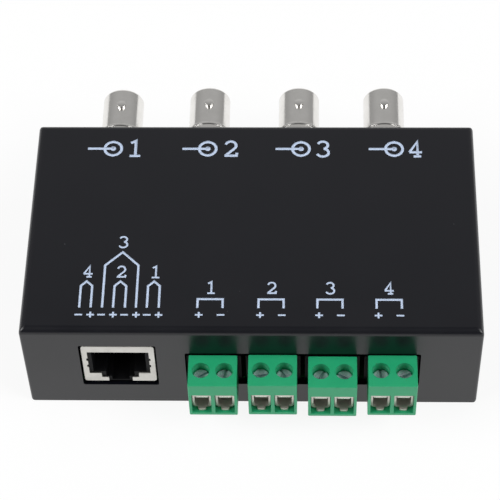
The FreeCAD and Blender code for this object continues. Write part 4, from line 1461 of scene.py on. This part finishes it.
@dataclass
class TerminalPlug:
    """Green two-pole plug with its two fixed contacts.

    Attributes:
        number: Which plug, from the left.
        depth: Depth of the clamp part.
        edge: Radius of the moulding's outer edges.
        pole_pitch: Distance between the poles.
        chamber: Width and height of a clamp chamber.
        chamber_floor: Thickness under the chamber.
        back_wall: Thickness behind the chamber.
        well: Radius of the screw wells.
        well_floor: Height of the screw heads' seat.
        shank_hole: Radius of the hole under a well.
        neck: Width, bottom and height of the part in the header.
        cavity: Width and height of the fork cavities.
        contact: Width, thickness and height of the clamp plates.
        fit: Room between the moulding and the clamp plates.
        taller: How much higher the moulding is than its CAD node.
        fork: Width, wall and drop of the forks.
    """

    number: int
    depth: float = 8.0
    edge: float = 0.25
    pole_pitch: float = 5.08
    chamber: Point2 = (4.3, 7.05)
    chamber_floor: float = 1.0
    back_wall: float = 1.3
    well: float = 1.95
    well_floor: float = 8.55
    shank_hole: float = 1.65
    neck: Point3 = (10.1, 1.65, 6.5)
    cavity: Point2 = (2.4, 2.7)
    contact: Point3 = (2.7, 0.55, 4.05)
    fit: float = 0.05
    taller: float = 0.35
    fork: Point3 = (1.86, 0.4, 1.75)

    def __post_init__(self) -> None:
        """Reads the plug's place from the frame."""
        self.low, self.high = node_box(f"terminal_plug_{self.number}")
        self.high.z += self.taller
        self.x = (self.low.x + self.high.x) / 2
        self.back = self.low.y + self.depth
        self.axis_y = self.low.y + self.depth / 2
        self.poles = (self.x - self.pole_pitch / 2, self.x + self.pole_pitch / 2)

    def moulding(self) -> Form:
        """The green moulding."""
        z = self.low.z
        body = spanned(self.low, (self.high.x, self.back, self.high.z)).soften(self.edge, 4, 60)
        neck_width, neck_bottom, neck_height = self.neck
        neck = slab(self.x, neck_width, (self.back - 1, self.high.y),
                    (z + neck_bottom, z + neck_bottom + neck_height))
        body.add(neck.soften(0.15, 2, 60))
        width, height = self.chamber
        plate_width, plate_thickness, plate_z = self.contact
        plate_top = z + plate_z + plate_thickness + self.fit
        cavity_width, cavity_height = self.cavity
        for x in self.poles:
            chamber = rectangle(x - width / 2, x + width / 2, z + self.chamber_floor,
                                z + self.chamber_floor + height)
            body.cut(pushed(rounded_outline(chamber, 0.12, 3), Axis.Y, self.low.y - 1,
                            self.back - self.back_wall))
            body.cut(rod(self.well, Axis.Z, (x, self.axis_y), z + self.well_floor, self.high.z + 1))
            body.cut(rod(self.shank_hole, Axis.Z, (x, self.axis_y), z + self.chamber_floor + 1,
                         z + self.well_floor + 1))
            body.cut(slab(x, plate_width + 2 * self.fit, (self.back - self.back_wall - 1, self.back + 0.9),
                          (z + plate_z - self.fit, plate_top)))
            body.cut(slab(x, cavity_width, (self.back - 0.2, self.high.y + 1),
                          (plate_top - cavity_height, plate_top)))
        return body.soften(0.09, 2, 60)

    def contacts(self) -> Form:
        """Both fixed contacts: a clamp plate in front and a sprung fork behind."""
        low, high = node_box(f"plug_contacts_{self.number}")
        width, thickness, plate_z = self.contact
        fork_width, wall, drop = self.fork
        z = self.low.z + plate_z
        top = z + thickness
        fork_start = self.back + 0.85
        made = []
        for x in self.poles:
            plate = slab(x, width, (low.y, fork_start), (z, top))
            fork = slab(x, fork_width, (self.back, high.y), (z - drop, top))
            gap = slab(x, fork_width - 2 * wall, (self.back - 1, high.y + 1), (z - drop - 1, z))
            made.append(plate.add(fork.cut(gap)).soften(0.08, 2, 60))
        return made[0].join(made[1])

    def build(self) -> None:
        """Builds and dresses the plug."""
        number = self.number
        finished(self.moulding(), f"plug_{number}_moulding", GREEN_POLYAMIDE, [f"terminal_plug_{number}"])
        finished(self.contacts(), f"plug_{number}_contacts", TINNED_COPPER, [f"plug_contacts_{number}"])


@dataclass
class RisingClamp:
    """Slotted screw and the cage that climbs it.

    Attributes:
        number: Which clamp, from the left.
        slot_turn: Direction of the screw's slot at rest, in degrees.
        head: Radius and height of the screw's head.
        slot: Width and depth of its slot.
        crest: Radius over its thread.
        pitch: Rise of the thread in one turn.
        thread_depth: Depth of the thread.
        wall: Thickness of the cage's side walls.
        floor: Thickness of its floor.
        top: Thickness of its threaded top.
        lower_round: Outer radius of its lower corners.
        upper_round: Outer radius of its upper corners.
        lip: Width and length of the lip in front.
        thread_hole: Radius of its threaded hole.
    """

    number: int
    slot_turn: float
    head: Point2 = (1.8, 1.1)
    slot: Point2 = (0.6, 0.6)
    crest: float = 1.5
    pitch: float = 0.5
    thread_depth: float = 0.2
    wall: float = 0.45
    floor: float = 0.6
    top: float = 0.65
    lower_round: float = 1.1
    upper_round: float = 0.4
    lip: Point2 = (1.8, 0.9)
    thread_hole: float = 1.54

    def screw(self) -> Form:
        """The screw: domed slotted head on a threaded shank."""
        low, high = node_box(f"clamp_screw_{self.number}")
        x, y = (low.x + high.x) / 2, (low.y + high.y) / 2
        radius, height = self.head
        profile = rounded_outline([(AXIS_GAP, 0.0), (radius, 0.0), (radius, height - 0.12),
                                   (radius - 0.25, height), (AXIS_GAP, height)],
                                  [0, 0.08, 0.1, 0.15, 0], 4)
        head = turned_part(profile, BLUE_ZINC, 64).turn(90, Axis.X)
        slot_width, slot_depth = self.slot
        blade = slab(0, 2 * radius + 2, (-slot_width / 2, slot_width / 2),
                     (height - slot_depth, height + 1))
        head.cut(blade.turn(self.slot_turn, Axis.Z)).soften(0.06, 2, 55)
        head.place(x, y, high.z - height)
        length = high.z - height - low.z
        shank = threaded_rod(self.crest, self.thread_depth, self.pitch, length + 0.1, BLUE_ZINC)
        return head.join(shank.place(x, y, high.z - height + 0.1))

    def cage(self) -> Form:
        """The folded cage with its threaded top and the lip in front."""
        low, high = node_box(f"clamp_cage_{self.number}")
        lip_width, lip_length = self.lip
        x = (low.x + high.x) / 2
        front = low.y + lip_length
        screw_low, screw_high = node_box(f"clamp_screw_{self.number}")
        middle_y = (screw_low.y + screw_high.y) / 2
        lower, upper = self.lower_round, self.upper_round
        outline = rounded_outline(rectangle(low.x, high.x, low.z, high.z), [lower, lower, upper, upper], 6)
        cage = pushed(outline, Axis.Y, front, high.y)
        inner_round = lower - self.wall
        inner = rectangle(low.x + self.wall, high.x - self.wall, low.z + self.floor, high.z - self.top)
        cage.cut(pushed(rounded_outline(inner, [inner_round, inner_round, 0.1, 0.1], 5), Axis.Y,
                        front - 1, high.y + 1))
        cage.cut(rod(self.thread_hole, Axis.Z, (x, middle_y), high.z - self.top - 0.5, high.z + 1, 48))
        lip = rectangle(x - lip_width / 2, x + lip_width / 2, low.y, front + 0.5)
        cage.add(pushed(rounded_outline(lip, [0.45, 0.45, 0, 0], 4), Axis.Z, low.z, low.z + self.floor))
        return cage.soften(0.06, 2, 60)

    def build(self) -> None:
        """Builds and dresses the clamp, each part on its own body."""
        number = self.number
        finished(self.screw(), f"clamp_{number}_screw", BLUE_ZINC, [f"clamp_screw_{number}"],
                 f"screw_{number}")
        finished(self.cage(), f"clamp_{number}_cage", STAMPED_NICKEL, [f"clamp_cage_{number}"],
                 f"cage_{number}")


# Pieces carried over from the frame


@dataclass(frozen=True)
class CarriedOver:
    """CAD nodes that keep their shape and get a finish."""

    finishes: tuple[tuple[str, Finish], ...] = (
        ("base_tray", POWDER_COAT),
        ("board_standoffs", BLUE_ZINC),
        ("board_screws", BLUE_ZINC),
        ("circuit_board", SOLDER_MASK),
        ("header_pins", TINNED_COPPER),
        ("surge_arresters", GLAZED_CERAMIC),
        ("jack_body_", BLACK_THERMOPLASTIC),
        ("pin_header_", BLACK_THERMOPLASTIC),
        ("balun_transformer_", POTTING_RESIN),
    )

    def build(self) -> None:
        """Gives each carried-over node its finish."""
        for prefix, finish in self.finishes:
            for name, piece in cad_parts.items():
                if name.startswith(prefix):
                    piece.data.materials.clear()
                    piece.data.materials.append(finish.make())
                    LOG.info("%s keeps its CAD shape in %s", name, finish.name)


# Studio


@dataclass
class Studio:
    """Pale floor, soft lamps and the camera of the photograph.

    Attributes:
        focal_px: Focal length in pixels of a 500-pixel frame.
        sensor_mm: Width of the camera's sensor.
        frame_px: Width of the frame.
        azimuth: Direction of the camera round the object, in degrees.
        elevation: Its height over the horizon, in degrees.
        roll: Its roll, in degrees.
        distance: Its distance along the view, in millimetres.
        aside: How far it stands to the right and up, in millimetres.
        centre_z: Height of the point that the fit was made round.
        plain_white: Share of plain white in the floor as the camera and mirrors see it.
        pale: Strength of the surroundings behind the object.
        dim: Their strength overhead and behind the camera.
        horizon: Share of that strength left at the horizon.
        behind: How far towards the back the surroundings turn from dim to pale, 1 being straight back.
        overhead: How high they reach their full strength, 1 being straight up.
        floor_half: Half the width of the floor, in metres.
        floor_drop: How far the floor lies under the object, in metres.
        lamp_place: Where the right lamp stands, in metres; the left one mirrors it.
        lamp_size: Length of the lamps' sides, in metres.
        lamp_watts: Power of each lamp.
    """

    focal_px: float = 2042.7
    sensor_mm: float = 36.0
    frame_px: float = 500.0
    azimuth: float = 2.951
    elevation: float = 53.927
    roll: float = -2.215
    distance: float = 465.03
    aside: Point2 = (-0.88, 2.8)
    centre_z: float = 13.95
    plain_white: float = 0.88
    pale: float = 0.56
    dim: float = 0.17
    horizon: float = 0.7
    behind: Point2 = (0.4, 0.75)
    overhead: Point2 = (0.0, 0.6)
    floor_half: float = 6.0
    floor_drop: float = 0.0001
    lamp_place: Point3 = (0.95, -0.25, 0.75)
    lamp_size: float = 0.8
    lamp_watts: float = 11.5

    def camera(self) -> None:
        """Places the camera."""
        a, e, r = (math.radians(v) for v in (self.azimuth, self.elevation, self.roll))
        back = Vector((math.sin(a) * math.cos(e), -math.cos(a) * math.cos(e), math.sin(e)))
        right = Vector((math.cos(a), math.sin(a), 0))
        up = back.cross(right)
        right_rolled = right * math.cos(r) + up * math.sin(r)
        up_rolled = up * math.cos(r) - right * math.sin(r)
        place = back * self.distance + right * self.aside[0] + up * self.aside[1]
        place.z += self.centre_z
        data = bpy.data.cameras.new("photo_camera")
        data.sensor_width = self.sensor_mm
        data.lens = self.focal_px * self.sensor_mm / self.frame_px
        data.clip_start = 0.01
        data.clip_end = 20
        camera = bpy.data.objects.new("photo_camera", data)
        turned = Matrix((right_rolled, up_rolled, back)).transposed()
        camera.matrix_world = Matrix.Translation(place * MM) @ turned.to_4x4()
        bpy.context.scene.collection.objects.link(camera)
        bpy.context.scene.camera = camera

    def floor(self) -> None:
        """Wide white floor, mixed with plain white for the camera so that only a soft shadow stays."""
        half = self.floor_half
        mesh = bpy.data.meshes.new("floor")
        corners = [(x, y, 0) for x, y in rectangle(-half, half, -half, half)]
        mesh.from_pydata(corners, [], [(0, 1, 2, 3)])
        floor = bpy.data.objects.new("floor", mesh)
        floor.location.z = -self.floor_drop
        material = bpy.data.materials.new("white_paper_floor")
        material.use_nodes = True
        tree = material.node_tree
        tree.nodes.clear()
        paper = add_node(tree, "ShaderNodeBsdfDiffuse", {"Color": linear("fafafa"), "Roughness": 0.5})
        white = add_node(tree, "ShaderNodeEmission", {"Strength": 1.0})
        path = add_node(tree, "ShaderNodeLightPath").outputs
        seen = reckoned(tree, "ADD", path["Is Camera Ray"], path["Is Glossy Ray"])
        seen = reckoned(tree, "ADD", seen, path["Is Transmission Ray"])
        share = reckoned(tree, "MULTIPLY", seen, self.plain_white)
        mix = add_node(tree, "ShaderNodeMixShader",
                       {"Fac": share, 1: paper.outputs["BSDF"], 2: white.outputs["Emission"]})
        add_node(tree, "ShaderNodeOutputMaterial", {"Surface": mix.outputs["Shader"]})
        mesh.materials.append(material)
        bpy.context.scene.collection.objects.link(floor)

    def world(self) -> None:
        """Surroundings: pale behind the object, dim elsewhere, a little darker towards the horizon."""
        world = bpy.data.worlds.new("studio")
        bpy.context.scene.world = world
        world.use_nodes = True
        tree = world.node_tree
        tree.nodes.clear()
        place = add_node(tree, "ShaderNodeTexCoord").outputs["Generated"]
        way = add_node(tree, "ShaderNodeSeparateXYZ", {"Vector": place}).outputs
        back = ranged(tree, way["Y"], self.behind, (self.dim, self.pale))
        height = ranged(tree, way["Z"], self.overhead, (self.horizon, 1.0))
        level = reckoned(tree, "MULTIPLY", back, height)
        sky = add_node(tree, "ShaderNodeBackground", {"Color": (1, 1, 1, 1), "Strength": level})
        add_node(tree, "ShaderNodeOutputWorld", {"Surface": sky.outputs["Background"]})

    def lamp(self, name: str, side: int) -> None:
        """Soft square lamp that looks at the object from the left (-1) or the right (1)."""
        x, y, z = self.lamp_place
        place = (side * x, y, z)
        data = bpy.data.lights.new(name, "AREA")
        data.shape = "SQUARE"
        data.size = self.lamp_size
        data.energy = self.lamp_watts
        lamp = bpy.data.objects.new(name, data)
        lamp.location = place
        lamp.rotation_euler = (-Vector(place)).to_track_quat("-Z", "Y").to_euler()
        bpy.context.scene.collection.objects.link(lamp)

    def build(self) -> None:
        """Sets up the whole studio."""
        self.camera()
        self.floor()
        self.world()
        self.lamp("left", -1)
        self.lamp("right", 1)
        bpy.context.scene.view_settings.view_transform = "Standard"


# Direction of each clamp screw's slot at rest, in degrees
SLOT_TURNS = (35.0, 75.0, 10.0, 120.0, 60.0, 150.0, 95.0, 25.0)


def main() -> None:
    """Builds every sub-assembly in order."""
    logging.basicConfig(level=logging.INFO, format="%(message)s")
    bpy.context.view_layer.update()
    Studio().build()
    SteelCase().build()
    TopSigns().build()
    for number in range(1, 5):
        CoaxJack(number).build()
    DataSocket().build()
    for number in range(1, 5):
        TerminalPlug(number).build()
    for number, slot_turn in enumerate(SLOT_TURNS, start=1):
        RisingClamp(number, slot_turn).build()
    CarriedOver().build()


if __name__ == "__main__":
    main()
